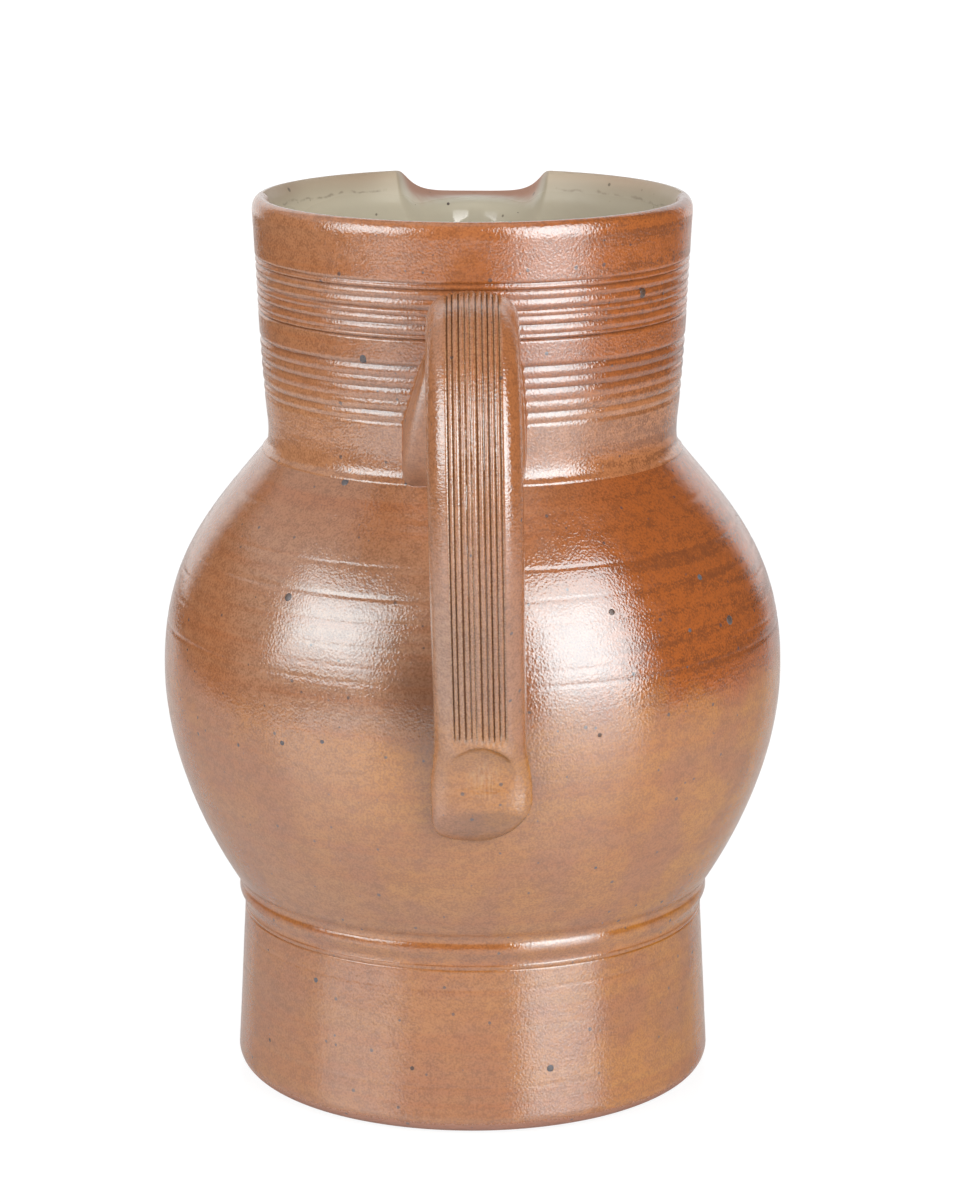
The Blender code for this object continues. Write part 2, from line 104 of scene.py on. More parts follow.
def bezier(start: Array, leave: Array, arrive: Array, end: Array, steps: int) -> Array:
    """Points along a cubic curve, or along many at once, both ends included.

    Args:
        start: First point.
        leave: Handle of the first point.
        arrive: Handle of the last point.
        end: Last point.
        steps: Number of steps.

    Returns:
        One row for each step.
    """
    start, leave, arrive, end = (np.asarray(point, float) for point in (start, leave, arrive, end))
    t = np.linspace(0, 1, steps + 1).reshape(-1, *(1,) * start.ndim)
    return (1 - t) ** 3 * start + 3 * (1 - t) ** 2 * t * leave + 3 * (1 - t) * t ** 2 * arrive + t ** 3 * end


def arc(centre: Pair, reach: float, rise: float, first: float, last: float, steps: int) -> Array:
    """Points along part of an ellipse.

    Args:
        centre: Middle of the ellipse.
        reach: Half width.
        rise: Half height.
        first: Angle of the first point in degrees.
        last: Angle of the last point in degrees.
        steps: Number of steps.

    Returns:
        One row for each point.
    """
    angles = np.radians(np.linspace(first, last, steps + 1))
    return np.column_stack((centre[0] + reach * np.cos(angles), centre[1] + rise * np.sin(angles)))


def line(start: Pair, end: Pair, steps: int) -> Array:
    """Points along a straight line, both ends included."""
    return blend(np.array(start, float), np.array(end, float), np.linspace(0, 1, steps + 1)[:, None])


def inset(outline: Array, distance: float) -> Array:
    """An outline moved to its left by a distance, point by point."""
    along = unit(np.gradient(outline, axis=0))
    return outline + distance * np.column_stack((-along[:, 1], along[:, 0]))


def closed_to(core: float, outline: Array) -> Array:
    """An outline that runs upwards, closed by an upright line at a smaller radius."""
    low, high = (core, outline[0, 1]), (core, outline[-1, 1])
    return np.vstack(([low], outline, [high], [low]))


def radius_at(outline: Array, height: float | Array) -> float | Array:
    """Radius of an outline at a height."""
    return np.interp(height, outline[:, 1], outline[:, 0])


def facing_out(outline: Array, points: Array, step: float) -> Array:
    """Directions straight out of a turned outline near some points, from its slope over a step."""
    slope = (radius_at(outline, points[:, 2] + step) - radius_at(outline, points[:, 2] - step)) / (2 * step)
    out = points[:, :2] / np.linalg.norm(points[:, :2], axis=1, keepdims=True)
    return unit(np.column_stack((out, -slope)))


def tool_marks(heights: Array, marks: tuple[Triple, ...]) -> Array:
    """Depth of cut at some heights, from marks that each have a height, half a width and a depth."""
    return sum(depth * np.clip(1 - np.abs(heights - height) / width, 0, 1) for height, width, depth in marks)


def lengths_along(points: Array) -> Array:
    """Length of a line of points, up to each of them."""
    return np.concatenate(([0.0], np.cumsum(np.linalg.norm(np.diff(points, axis=0), axis=1))))


def resampled_loop(points: Array, count: int) -> Array:
    """A closed loop of points, spread evenly along its length."""
    closed = np.vstack((points, points[:1]))
    lengths = lengths_along(closed)
    places = np.linspace(0, lengths[-1], count, endpoint=False)
    return np.column_stack([np.interp(places, lengths, values) for values in closed.T])


def softened_loop(points: Array, passes: int) -> Array:
    """A closed loop of points, each drawn towards its neighbours some times."""
    for _ in range(passes):
        points = (np.roll(points, 1, axis=0) + 2 * points + np.roll(points, -1, axis=0)) / 4
    return points


def quads(rows: int, columns: int, wrapped: bool = True) -> Array:
    """Corner indexes of the faces of a grid of points whose rows are closed.

    Args:
        rows: Number of rows of points.
        columns: Number of points in a row.
        wrapped: True if the last row joins the first.

    Returns:
        One row of four indexes for each face.
    """
    row = np.arange(rows if wrapped else rows - 1)[:, None]
    column = np.arange(columns)[None, :]
    here, after = row * columns, (row + 1) % rows * columns
    beside = (column + 1) % columns
    return np.stack((here + column, here + beside, after + beside, after + column), axis=-1).reshape(-1, 4)


def parted(rows: int, columns: int, first: int, last: int, stop: int, width: int) -> tuple[list, list]:
    """Faces of a grid that is closed both ways, parted along a window with walls round it.

    Args:
        rows: Number of rows of points.
        columns: Number of points in a row.
        first: First row of the window.
        last: Row where its walls end.
        stop: First row of faces past it.
        width: Number of columns of faces in it.

    Returns:
        The faces outside the window and those inside, with the walls in both.
    """
    faces = quads(rows, columns)
    row, column = np.divmod(faces[:, 0], columns)
    inside = (row >= first) & (row < stop) & (column < width)
    edge, sill = np.arange(first, last + 1) * columns, np.arange(width)
    low, high = first * columns + sill, last * columns + sill
    walls = [edge.tolist(), (edge + width).tolist()] + np.stack((low, low + 1, high + 1, high), axis=-1).tolist()
    return faces[~inside].tolist() + walls, faces[inside].tolist() + walls


def linked(name: str, data: bpy.types.ID) -> Piece:
    """An object of a mesh, a lamp or a lens, linked to the scene."""
    made = bpy.data.objects.new(name, data)
    bpy.context.scene.collection.objects.link(made)
    return made


def new_object(name: str, points: Array, faces: list) -> Piece:
    """A mesh object of points and faces, linked to the scene."""
    mesh = bpy.data.meshes.new(name)
    mesh.from_pydata(np.reshape(points, (-1, 3)).tolist(), [], [list(map(int, face)) for face in faces])
    return linked(name, mesh)


def add_attributes(piece: Piece, **layers: Array) -> None:
    """Keep numbers for each point of a mesh, by name."""
    for name, values in layers.items():
        layer = piece.data.attributes.new(name, "FLOAT", "POINT")
        layer.data.foreach_set("value", np.asarray(values, np.float32).ravel())


def shade(piece: Piece) -> None:
    """Shade the rounds of a mesh smooth and keep its sharp edges."""
    piece.data.shade_smooth()
    piece.data.set_sharp_from_angle(angle=math.radians(SHARP_ANGLE))


def tidy_mesh(piece: Piece) -> None:
    """Remove points that no face uses, weld doubled ones, turn faces outwards and shade the mesh."""
    shape = bmesh.new()
    shape.from_mesh(piece.data)
    loose = [point for point in shape.verts if not point.link_faces]
    bmesh.ops.delete(shape, geom=loose, context="VERTS")
    bmesh.ops.remove_doubles(shape, verts=shape.verts, dist=WELD)
    bmesh.ops.recalc_face_normals(shape, faces=shape.faces)
    shape.to_mesh(piece.data)
    shape.free()
    shade(piece)


# Node trees


class TreeKind(Enum):
    """What a node tree makes."""

    SHAPE = "GeometryNodeTree"
    SHADE = "ShaderNodeTree"


class Kind(Enum):
    """What goes through a socket of a node tree."""

    NUMBER = "NodeSocketFloat"
    COUNT = "NodeSocketInt"
    TEXT = "NodeSocketString"
    PLACE = "NodeSocketVector"
    SHAPE = "NodeSocketGeometry"
    FINISH = "NodeSocketMaterial"


@dataclass(frozen=True)
class Port:
    """A named socket of a node tree."""

    name: str
    kind: Kind = Kind.NUMBER
    value: float | None = None


class Value:
    """What comes out of a node, so that sums in a tree are written as sums."""

    # Sockets of a colour mix: its share and both colours, and its result
    mix_inputs: tuple[int, ...] = (0, 6, 7)
    mix_output: int = 2

    def __init__(self, wiring: "Wiring", socket: Socket) -> None:
        """Stand for an output of a node."""
        self.wiring, self.socket = wiring, socket

    def __add__(self, other: object) -> "Value":
        """The sum of two values."""
        return self.wiring.math("ADD", self, other)

    def __sub__(self, other: object) -> "Value":
        """This value less another."""
        return self.wiring.math("SUBTRACT", self, other)

    def __rsub__(self, other: object) -> "Value":
        """A number less this value."""
        return self.wiring.math("SUBTRACT", other, self)

    def __mul__(self, other: object) -> "Value":
        """The product of two values."""
        return self.wiring.math("MULTIPLY", self, other)

    def __truediv__(self, other: object) -> "Value":
        """This value divided by another."""
        return self.wiring.math("DIVIDE", self, other)

    def ranged(self, low: float, high: float, start: float = 0.0, end: float = 1.0) -> "Value":
        """This value eased from one range to another and held at its ends."""
        inputs = dict(enumerate((self, low, high, start, end)))
        return self.wiring.out("ShaderNodeMapRange", inputs, interpolation_type="SMOOTHSTEP")

    def mixed(self, first: object, second: object) -> "Value":
        """A colour between two colours, with this value as the share of the second."""
        inputs = dict(zip(self.mix_inputs, (self, first, second)))
        return self.wiring.out("ShaderNodeMix", inputs, self.mix_output, data_type="RGBA")


class Wiring:
    """Short calls for adding nodes to a tree."""

    def __init__(self, tree: bpy.types.NodeTree) -> None:
        """Work on a tree."""
        self.tree = tree

    def feed(self, socket: Socket, value: object) -> None:
        """Link a socket to a value of the tree, or set it."""
        if isinstance(value, Value):
            self.tree.links.new(value.socket, socket)
        else:
            socket.default_value = (*value, 1.0) if socket.type == "RGBA" else value

    def feed_all(self, node: Node, **values: object) -> Node:
        """Feed inputs of a node by name, with _ for a space."""
        for name, value in values.items():
            self.feed(node.inputs[name.replace("_", " ")], value)
        return node

    def node(self, kind: str, inputs: dict | None = None, **settings: object) -> Node:
        """A new node with some of its inputs, by name or number, and settings."""
        made = self.tree.nodes.new(kind)
        for name, value in settings.items():
            setattr(made, name, value)
        for key, value in (inputs or {}).items():
            self.feed(made.inputs[key], value)
        return made

    def out(self, kind: str, inputs: dict | None = None, output: int | str = 0, **settings: object) -> Value:
        """What comes out of a new node."""
        return Value(self, self.node(kind, inputs, **settings).outputs[output])

    def math(self, operation: str, *values: object) -> Value:
        """Result of a sum on numbers or values."""
        return self.out("ShaderNodeMath", dict(enumerate(values)), operation=operation)

    def vector(self, *values: object) -> Value:
        """A vector of three numbers or values."""
        return self.out("ShaderNodeCombineXYZ", dict(enumerate(values)))

    def parts(self, vector: Value) -> list[Value]:
        """The three numbers of a vector."""
        return [Value(self, socket) for socket in self.node("ShaderNodeSeparateXYZ", {0: vector}).outputs]

    def scaled(self, vector: Value, by: Triple) -> Value:
        """A vector stretched along its three axes."""
        return self.out("ShaderNodeVectorMath", {0: vector, 1: by}, operation="MULTIPLY")

    def noise(self, vector: Value, scale: object, detail: float, seed: object) -> Value:
        """A soft noise from 0 to 1."""
        inputs = {"Vector": vector, "W": seed, "Scale": scale, "Detail": detail}
        return self.out("ShaderNodeTexNoise", inputs, noise_dimensions="4D")

    def attribute(self, name: str) -> Value:
        """A number that the mesh keeps for each point, for a finish."""
        return self.out("ShaderNodeAttribute", None, "Fac", attribute_name=name)

    def effect(self, group: "NodeGroup", **values: object) -> dict[str, Value]:
        """Outputs of a shared effect by name."""
        made = self.feed_all(self.node("ShaderNodeGroup", node_tree=group.tree), **values)
        return {socket.name: Value(self, socket) for socket in made.outputs}

    def bump(self, height: Value, depth: float) -> Value:
        """Normals of a fine relief."""
        return self.out("ShaderNodeBump", {"Strength": 1.0, "Distance": depth, "Height": height})

    def layered(self, colour: object, *layers: tuple[Value, object]) -> Value:
        """A colour with other colours laid over it in turn, each by its share."""
        for share, tone in layers:
            colour = share.mixed(colour, tone)
        return colour


class NodeGroup(Wiring):
    """A node tree with named inputs and outputs."""

    def __init__(self, name: str, kind: TreeKind, inputs: tuple[Port, ...], outputs: tuple[Port, ...]) -> None:
        """Make the tree and its sockets."""
        super().__init__(bpy.data.node_groups.new(name, kind.value))
        for ports, side in ((inputs, "INPUT"), (outputs, "OUTPUT")):
            for port in ports:
                socket = self.tree.interface.new_socket(name=port.name, in_out=side, socket_type=port.kind.value)
                if port.value is not None:
                    socket.default_value = port.value
        given = self.node("NodeGroupInput").outputs
        self.given = [Value(self, given[port.name]) for port in inputs]
        self.result = self.node("NodeGroupOutput")

    def named(self, name: object, kind: str = "FLOAT") -> Value:
        """What the mesh keeps for each point, for a shape."""
        return self.out("GeometryNodeInputNamedAttribute", {"Name": name}, data_type=kind)

    def stored(self, shape: Value, name: str, value: Value) -> Value:
        """A shape that keeps a number for each point."""
        inputs = {"Geometry": shape, "Name": name, "Value": value}
        return self.out("GeometryNodeStoreNamedAttribute", inputs, data_type="FLOAT", domain="POINT")

    def close(self, shape: Value, finish: Value) -> "NodeGroup":
        """End with a shape whose instances are real and whose material is set."""
        real = self.out("GeometryNodeRealizeInstances", {0: shape})
        self.feed(self.result.inputs[0], self.out("GeometryNodeSetMaterial", {"Geometry": real, "Material": finish}))
        return self

    def apply(self, piece: Piece, **values: object) -> None:
        """Run the tree on an object and keep the result as a plain mesh.

        Args:
            piece: Object whose mesh goes into the tree.
            values: Inputs by name, with _ for a space.
        """
        modifier = piece.modifiers.new(self.tree.name, "NODES")
        modifier.node_group = self.tree
        for item in self.tree.interface.items_tree:
            key = item.name.replace(" ", "_")
            if item.in_out == "INPUT" and key in values:
                modifier[item.identifier] = values[key]
        graph = bpy.context.evaluated_depsgraph_get()
        mesh = bpy.data.meshes.new_from_object(piece.evaluated_get(graph), preserve_all_data_layers=True,
                                               depsgraph=graph)
        mesh.name = piece.name
        piece.modifiers.remove(modifier)
        piece.data = mesh


@dataclass(frozen=True)
class Turning:
    """Turns a profile round the upright axis, with the unevenness of a hand-thrown wall.

    The profile is a row of points with a depth of cut at each. The cut fades out in patches.
    """

    lean_scale: float = 1.3
    lean_zone: Zone = (0.0, 0.03)
    patch_scale: float = 1.1
    patch_rise: float = 400.0
    patch_zone: Zone = (0.35, 0.65)

    def tree(self) -> NodeGroup:
        """Build the tree.

        Returns:
            The tree.
        """
        made = NodeGroup(
            "turned_ware", TreeKind.SHAPE, (Port("Profile", Kind.SHAPE), Port("Segments", Kind.COUNT),
            Port("Wobble"), Port("Wobble Rise"), Port("Cut Gaps"), Port("Seed"), Port("Finish", Kind.FINISH)),
            (Port("Ware", Kind.SHAPE),))
        profile, segments, wobble, rise, gaps, seed, finish = made.given
        count = made.out("GeometryNodeAttributeDomainSize", {0: profile}, "Point Count")
        grid = made.out("GeometryNodeMeshGrid", {"Vertices X": segments + 1.0, "Vertices Y": count})
        index = made.out("GeometryNodeInputIndex")
        place = made.math("MODULO", index, count)
        angle = made.math("FLOOR", index / count) / segments * (2 * math.pi)
        position = made.out("GeometryNodeInputPosition")
        spot, cut = (made.out("GeometryNodeSampleIndex", {"Geometry": profile, "Value": value, "Index": place},
                              data_type=kind, domain="POINT")
                     for kind, value in (("FLOAT_VECTOR", position), ("FLOAT", made.named("cut"))))
        radius, _, height = made.parts(spot)
        across, along = made.math("COSINE", angle), made.math("SINE", angle)
        lean = made.noise(made.vector(across, along, height * rise), self.lean_scale, 2.0, seed) * wobble
        patch = made.noise(made.vector(across, along, height * self.patch_rise), self.patch_scale, 1.0, seed)
        depth = cut * (1.0 - gaps * patch.ranged(*self.patch_zone))
        thrown = radius - lean * radius.ranged(*self.lean_zone) - depth
        moved = made.out("GeometryNodeSetPosition", {
            "Geometry": grid, "Position": made.vector(thrown * across, thrown * along, height)})
        # the depth of cut is kept for the finishes, which paint shade into the cuts
        kept = made.stored(moved, "groove", depth)
        welded = made.out("GeometryNodeMergeByDistance", {"Geometry": kept, "Distance": WELD})
        return made.close(welded, finish)


@dataclass(frozen=True)
class Combing:
    """Presses a row of comb grooves into a surface, along its own normals.

    Attributes of the surface say how far across the comb a point lies and how hard the comb presses there.
    """

    waver_scale: float = 45.0
    waver_share: float = 0.35
    step_scale: float = 0.6
    rub_scale: float = 60.0
    rub_share: float = 0.7
    least_bite: float = 0.1
    valley_power: float = 1.9

    def tree(self) -> NodeGroup:
        """Build the tree.

        Returns:
            The tree.
        """
        made = NodeGroup(
            "combed_band", TreeKind.SHAPE, (Port("Surface", Kind.SHAPE), Port("Across", Kind.TEXT),
            Port("Grooves", Kind.COUNT), Port("Pitch"), Port("Depth"), Port("Drift"), Port("Unevenness"), Port("Seed"),
            Port("Finish", Kind.FINISH)), (Port("Combed", Kind.SHAPE),))
        surface, across_name, grooves, pitch, depth, drift, uneven, seed, finish = made.given
        across = made.named(across_name) / pitch
        position = made.out("GeometryNodeInputPosition")
        waver = made.noise(position, self.waver_scale, 1.0, seed) - 0.5
        step = made.out("ShaderNodeTexNoise", {"W": across + seed, "Scale": self.step_scale, "Detail": 0.0},
                        noise_dimensions="1D") - 0.5
        place = across + (waver * self.waver_share + step) * drift
        valley = 1.0 - made.math("ABSOLUTE", made.math("FRACT", place) * 2.0 - 1.0)
        inside = made.math("GREATER_THAN", place, 0.0) * made.math("LESS_THAN", place, grooves)
        tooth = made.out("ShaderNodeTexWhiteNoise", {"W": made.math("FLOOR", place) + seed}, noise_dimensions="1D")
        rub = made.noise(position, self.rub_scale, 2.0, seed)
        bite = made.math("MAXIMUM", 1.0 - uneven * ((tooth + rub) * self.rub_share), self.least_bite)
        sunk = made.math("POWER", valley, self.valley_power) * (inside * made.named("press") * bite) * depth
        inward = made.out("ShaderNodeVectorMath", {"Vector": made.out("GeometryNodeInputNormal"), "Scale": sunk * -1.0},
                          operation="SCALE")
        # each groove's depth is kept for the finishes, which paint shade into the groove
        kept = made.stored(surface, "groove", made.math("MAXIMUM", made.named("groove"), sunk))
        return made.close(made.out("GeometryNodeSetPosition", {"Geometry": kept, "Offset": inward}), finish)


@dataclass(frozen=True)
class Scattering:
    """Sets a small flat lens on each point, facing the way that the point's own vector says."""

    def tree(self) -> NodeGroup:
        """Build the tree.

        Returns:
            The tree.
        """
        made = NodeGroup(
            "scattered_lenses", TreeKind.SHAPE, (Port("Places", Kind.SHAPE), Port("Flatness"),
            Port("Roundness", Kind.COUNT), Port("Finish", Kind.FINISH)), (Port("Lenses", Kind.SHAPE),))
        places, flatness, roundness, finish = made.given
        lens = made.out("GeometryNodeMeshIcoSphere", {"Radius": 0.5, "Subdivisions": roundness})
        rounded = made.out("GeometryNodeSetShadeSmooth", {0: lens})
        facing = made.named("facing", "FLOAT_VECTOR")
        turned = made.out("FunctionNodeAlignRotationToVector", {"Vector": facing}, axis="Z")
        width = made.named("width")
        spread = made.out("GeometryNodeInstanceOnPoints", {
            "Points": places, "Instance": rounded, "Rotation": turned,
            "Scale": made.vector(width, width, width * flatness)})
        return made.close(spread, finish)


# Effects that several finishes share


@dataclass(frozen=True)
class SaltPeel:
    """The orange-peel skin of a salt glaze, as a height and as a change of gloss."""

    pore: float = 1500.0
    pit_softness: float = 0.7
    pit_share: float = 0.6
    fine_scale: float = 0.9
    fine_share: float = 0.8
    broad_scale: float = 0.12
    broad_share: float = 0.4
    matt_zone: Zone = (0.35, 0.7)

    def tree(self) -> NodeGroup:
        """Build the tree.

        Returns:
            The tree.
        """
        made = NodeGroup(
            "salt_peel", TreeKind.SHADE, (Port("Place", Kind.PLACE), Port("Pore", value=self.pore), Port("Seed")),
            (Port("Height"), Port("Matt")))
        place, pore, seed = made.given
        pitted = made.out("ShaderNodeTexVoronoi", {"Vector": place, "Scale": pore, "Smoothness": self.pit_softness},
                          feature="SMOOTH_F1", voronoi_dimensions="3D")
        fine = made.noise(place, pore * self.fine_scale, 3.0, seed)
        broad = made.noise(place, pore * self.broad_scale, 2.0, seed)
        height = pitted * self.pit_share + fine * self.fine_share + broad * self.broad_share
        made.feed_all(made.result, Height=height, Matt=broad.ranged(*self.matt_zone))
        return made


@dataclass(frozen=True)
class KilnColour:
    """Kiln colour: broad flushes, clouds, fine mottle, streaks along the wheel and iron specks, as masks."""

    flush_scale: float = 11.0
    flush_zone: Zone = (0.32, 0.68)
    cloud_scale: float = 55.0
    cloud_zone: Zone = (0.44, 0.62)
    lump_scale: Triple = (300.0, 300.0, 480.0)
    lump_share: float = 0.35
    grain_scale: float = 1700.0
    grain_share: float = 0.65
    mottle_zone: Zone = (0.40, 0.62)
    streak_scale: Triple = (9.0, 9.0, 380.0)
    streak_zone: Zone = (0.35, 0.7)
    speck: float = 400.0
    speck_chance: float = 0.8
    speck_width: float = 0.26
    speck_zone: Zone = (-0.08, 0.02)

    def tree(self) -> NodeGroup:
        """Build the tree.

        Returns:
            The tree.
        """
        made = NodeGroup(
            "kiln_colour", TreeKind.SHADE, (Port("Place", Kind.PLACE), Port("Speck", value=self.speck), Port("Seed")),
            (Port("Flush"), Port("Cloud"), Port("Mottle"), Port("Streak"), Port("Specks")))
        place, speck, seed = made.given
        lumps = made.noise(made.scaled(place, self.lump_scale), 1.0, 3.0, seed) * self.lump_share
        grain = made.noise(place, self.grain_scale, 2.0, seed) * self.grain_share
        drawn = made.noise(made.scaled(place, self.streak_scale), 1.0, 4.0, seed)
        dots = made.node("ShaderNodeTexVoronoi", {"Vector": place, "Scale": speck, "Randomness": 1.0},
                         feature="F1", voronoi_dimensions="3D").outputs
        chance, _, width = made.parts(Value(made, dots["Color"]))
        chosen = made.math("GREATER_THAN", chance, self.speck_chance)
        past = Value(made, dots["Distance"]) - width * self.speck_width * chosen
        made.feed_all(made.result,
                      Flush=made.noise(place, self.flush_scale, 3.0, seed).ranged(*self.flush_zone),
                      Cloud=made.noise(place, self.cloud_scale, 5.0, seed).ranged(*self.cloud_zone),
                      Mottle=(lumps + grain).ranged(*self.mottle_zone),
                      Streak=drawn.ranged(*self.streak_zone),
                      Specks=(1.0 - past.ranged(*self.speck_zone)) * chosen)
        return made


@dataclass
class Effects:
    """The shared effect groups, each built once."""

    peel: NodeGroup = field(default_factory=SaltPeel().tree)
    kiln: NodeGroup = field(default_factory=KilnColour().tree)


# Finishes


class Finish:
    """Base of the finishes: a material with one Principled shader."""

    name: str

    def begin(self) -> tuple[Wiring, Node, Value]:
        """Start a material.

        Returns:
            Its wiring, its shader and its place in object coordinates.
        """
        material = bpy.data.materials.new(self.name)
        material.use_nodes = True
        wiring = Wiring(material.node_tree)
        place = wiring.out("ShaderNodeTexCoord", None, "Object")
        return wiring, material.node_tree.nodes["Principled BSDF"], place

    def made(self) -> Material:
        """The material."""
        return bpy.data.materials[self.name]


@dataclass(frozen=True)
class Stoneware(Finish):
    """Salt-glazed stoneware: an orange-brown body under a thin glossy glaze with an orange-peel skin.

    The zones are heights, distances to the right of the axis, or values of a noise.
    """

    name: str
    flushed: Colour = (0.375, 0.100, 0.020)
    # paler pinkish colour towards the left: partly the kiln's flashing, partly a painted reflection of the white studio
    flashed_and_sheened: Colour = (0.378, 0.160, 0.072)
    sheen_side_zone: Zone = (0.045, -0.025)
    side_drift: float = 0.05
    # painted highlight: a paler colour on the belly's left, just below the left lamp's highlight, stands in for the
    # spread edge of that highlight
    highlight_fringe: Colour = (0.390, 0.206, 0.121)
    highlight_fringe_sides: tuple[Zone, Zone] = ((0.020, -0.020), (-0.070, -0.058))
    highlight_fringe_tiers: tuple[Zone, Zone] = ((0.112, 0.122), (0.172, 0.152))
    # pale, golden and clouded colour the lower belly: partly the kiln's own colour, partly a painted reflection of the
    # white table
    pale: Colour = (0.396, 0.154, 0.040)
    golden: Colour = (0.472, 0.184, 0.027)
    gold_zone: Zone = (-0.035, 0.025)
    clouded: Colour = (0.325, 0.120, 0.048)
    cloud_share: float = 0.65
    lift_zone: Zone = (0.1370, 0.1225)
    lift_drift: Pair = (0.010, 0.005)
    lift_share: Zone = (0.0, 1.0, 0.65, 0.95)
    streak: float = 0.35
    # painted reflection: the lower collar and the neck ring are lightened as if veiled by the white table's reflection
    table_veil: Colour = (0.510, 0.235, 0.108)
    table_veil_zone: Zone = (0.2080, 0.1960)
    table_veil_share: float = 0.0
    dark: Colour = (0.130, 0.042, 0.016)
    # darker streaks on the right of the upper belly: streaky kiln colour together with a painted dark reflection of the
    # room
    dark_streak_side: Zone = (0.01, 0.06)
    dark_streak_rise: Zone = (0.115, 0.130)
    dark_streak_mix: Pair = (0.65, 0.35)
    dark_streak_share: Zone = (0.30, 0.75, 0.0, 0.50)
    mottle: float = 0.46
    # painted shade: grooves, tool marks and the handle's marked places darken with the stored depth
    groove_depth: float = 0.0006
    groove_start: float = 0.15
    groove_shade: float = 0.60
    # worn is a pale gold painted as glints on the comb's groove edges and as a sheen on the thumb mark's floor
    worn: Colour = (0.620, 0.370, 0.170)
    glint_fleck_scale: float = 2300.0
    glint_fleck_zone: Zone = (0.40, 0.60)
    scratch_scale: Triple = (1500.0, 1500.0, 260.0)
    scratch_zone: Zone = (0.30, 0.70)
    glint_share: float = 0.0
    # a dark patch left of the handle's lower end: partly a soot stain, partly the handle's painted shadow on the belly
    soot_and_shadow_middle: Pair = (-0.0135, 0.1240)
    soot_and_shadow_size: Pair = (0.0100, 0.0150)
    soot_and_shadow_edge: float = 1.6
    soot_and_shadow_share: float = 0.0
    thin: Colour = (0.430, 0.330, 0.240)
    lip_zone: Zone = (-0.01, 0.03, 0.0, 0.85)
    bare: Colour = (0.330, 0.118, 0.058)
    base_zone: Zone = (0.0040, 0.0030)
    base_drift: float = 0.0008
    base_shade: float = 0.0
    iron: Colour = (0.060, 0.055, 0.060)
    specks: float = 0.7
    gloss: float = 0.08
    matt: float = 0.18
    matt_mix: Pair = (0.7, 0.3)
    dryness: float = 0.45
    refraction: float = 1.7
    mirror: float = 1.0
    cool: Colour = (0.76, 0.94, 1.0)
    peel_depth: float = 0.00007
    chatter: float = 0.0
    chatter_scale: Triple = (700.0, 700.0, 1700.0)
    seed: float = 0.0

    def material(self, effects: Effects) -> Material:
        """Build the material.

        Args:
            effects: The shared effect groups.

        Returns:
            The material.
        """
        wiring, shader, place = self.begin()
        kiln = wiring.effect(effects.kiln, Place=place, Seed=self.seed)
        peel = wiring.effect(effects.peel, Place=place, Seed=self.seed)
        flush, cloud, mottle, streak = (kiln[name] for name in ("Flush", "Cloud", "Mottle", "Streak"))
        across, along, height = wiring.parts(place)
        aside = across + (flush - 0.5) * self.side_drift
        # painted highlight: where the spread edge of the left highlight is painted, between given sides and heights
        highlight_fringe_mask = wiring.math("MULTIPLY", *(
            value.ranged(*zones[0]) * value.ranged(*zones[1])
            for value, zones in ((across, self.highlight_fringe_sides), (height, self.highlight_fringe_tiers))))
        # lower belly colour: partly kiln colour, partly a painted reflection of the white table
        low = wiring.layered(aside.ranged(*self.gold_zone).mixed(self.pale, self.golden),
                             (cloud * self.cloud_share, self.clouded))
        drift = flush * self.lift_drift[0] + cloud * self.lift_drift[1]
        lift = (height + drift).ranged(*self.lift_zone) * flush.ranged(*self.lift_share)
        # streaks painted darker on the right: kiln streaking and painted dark reflection
        dark_streak_noise = (streak * self.dark_streak_mix[0] + mottle * self.dark_streak_mix[1]).ranged(*self.dark_streak_share)
        dark_streak = across.ranged(*self.dark_streak_side) * height.ranged(*self.dark_streak_rise) * dark_streak_noise
        groove = wiring.attribute("groove").ranged(self.groove_start * self.groove_depth, self.groove_depth)
        # painted glints along the edges of the comb grooves, scattered by a fine noise
        glint_flecks = wiring.noise(place, self.glint_fleck_scale, 2.0, self.seed).ranged(*self.glint_fleck_zone)
        ridge_glint = groove * 4.0 * (1.0 - groove) * wiring.attribute("press") * glint_flecks
        # painted sheen on the thumb mark's floor, broken up by fine scratches
        scratched = wiring.noise(wiring.scaled(place, self.scratch_scale), 1.0, 2.0, self.seed)
        rubbed = wiring.attribute("rubbed") * scratched.ranged(*self.scratch_zone)
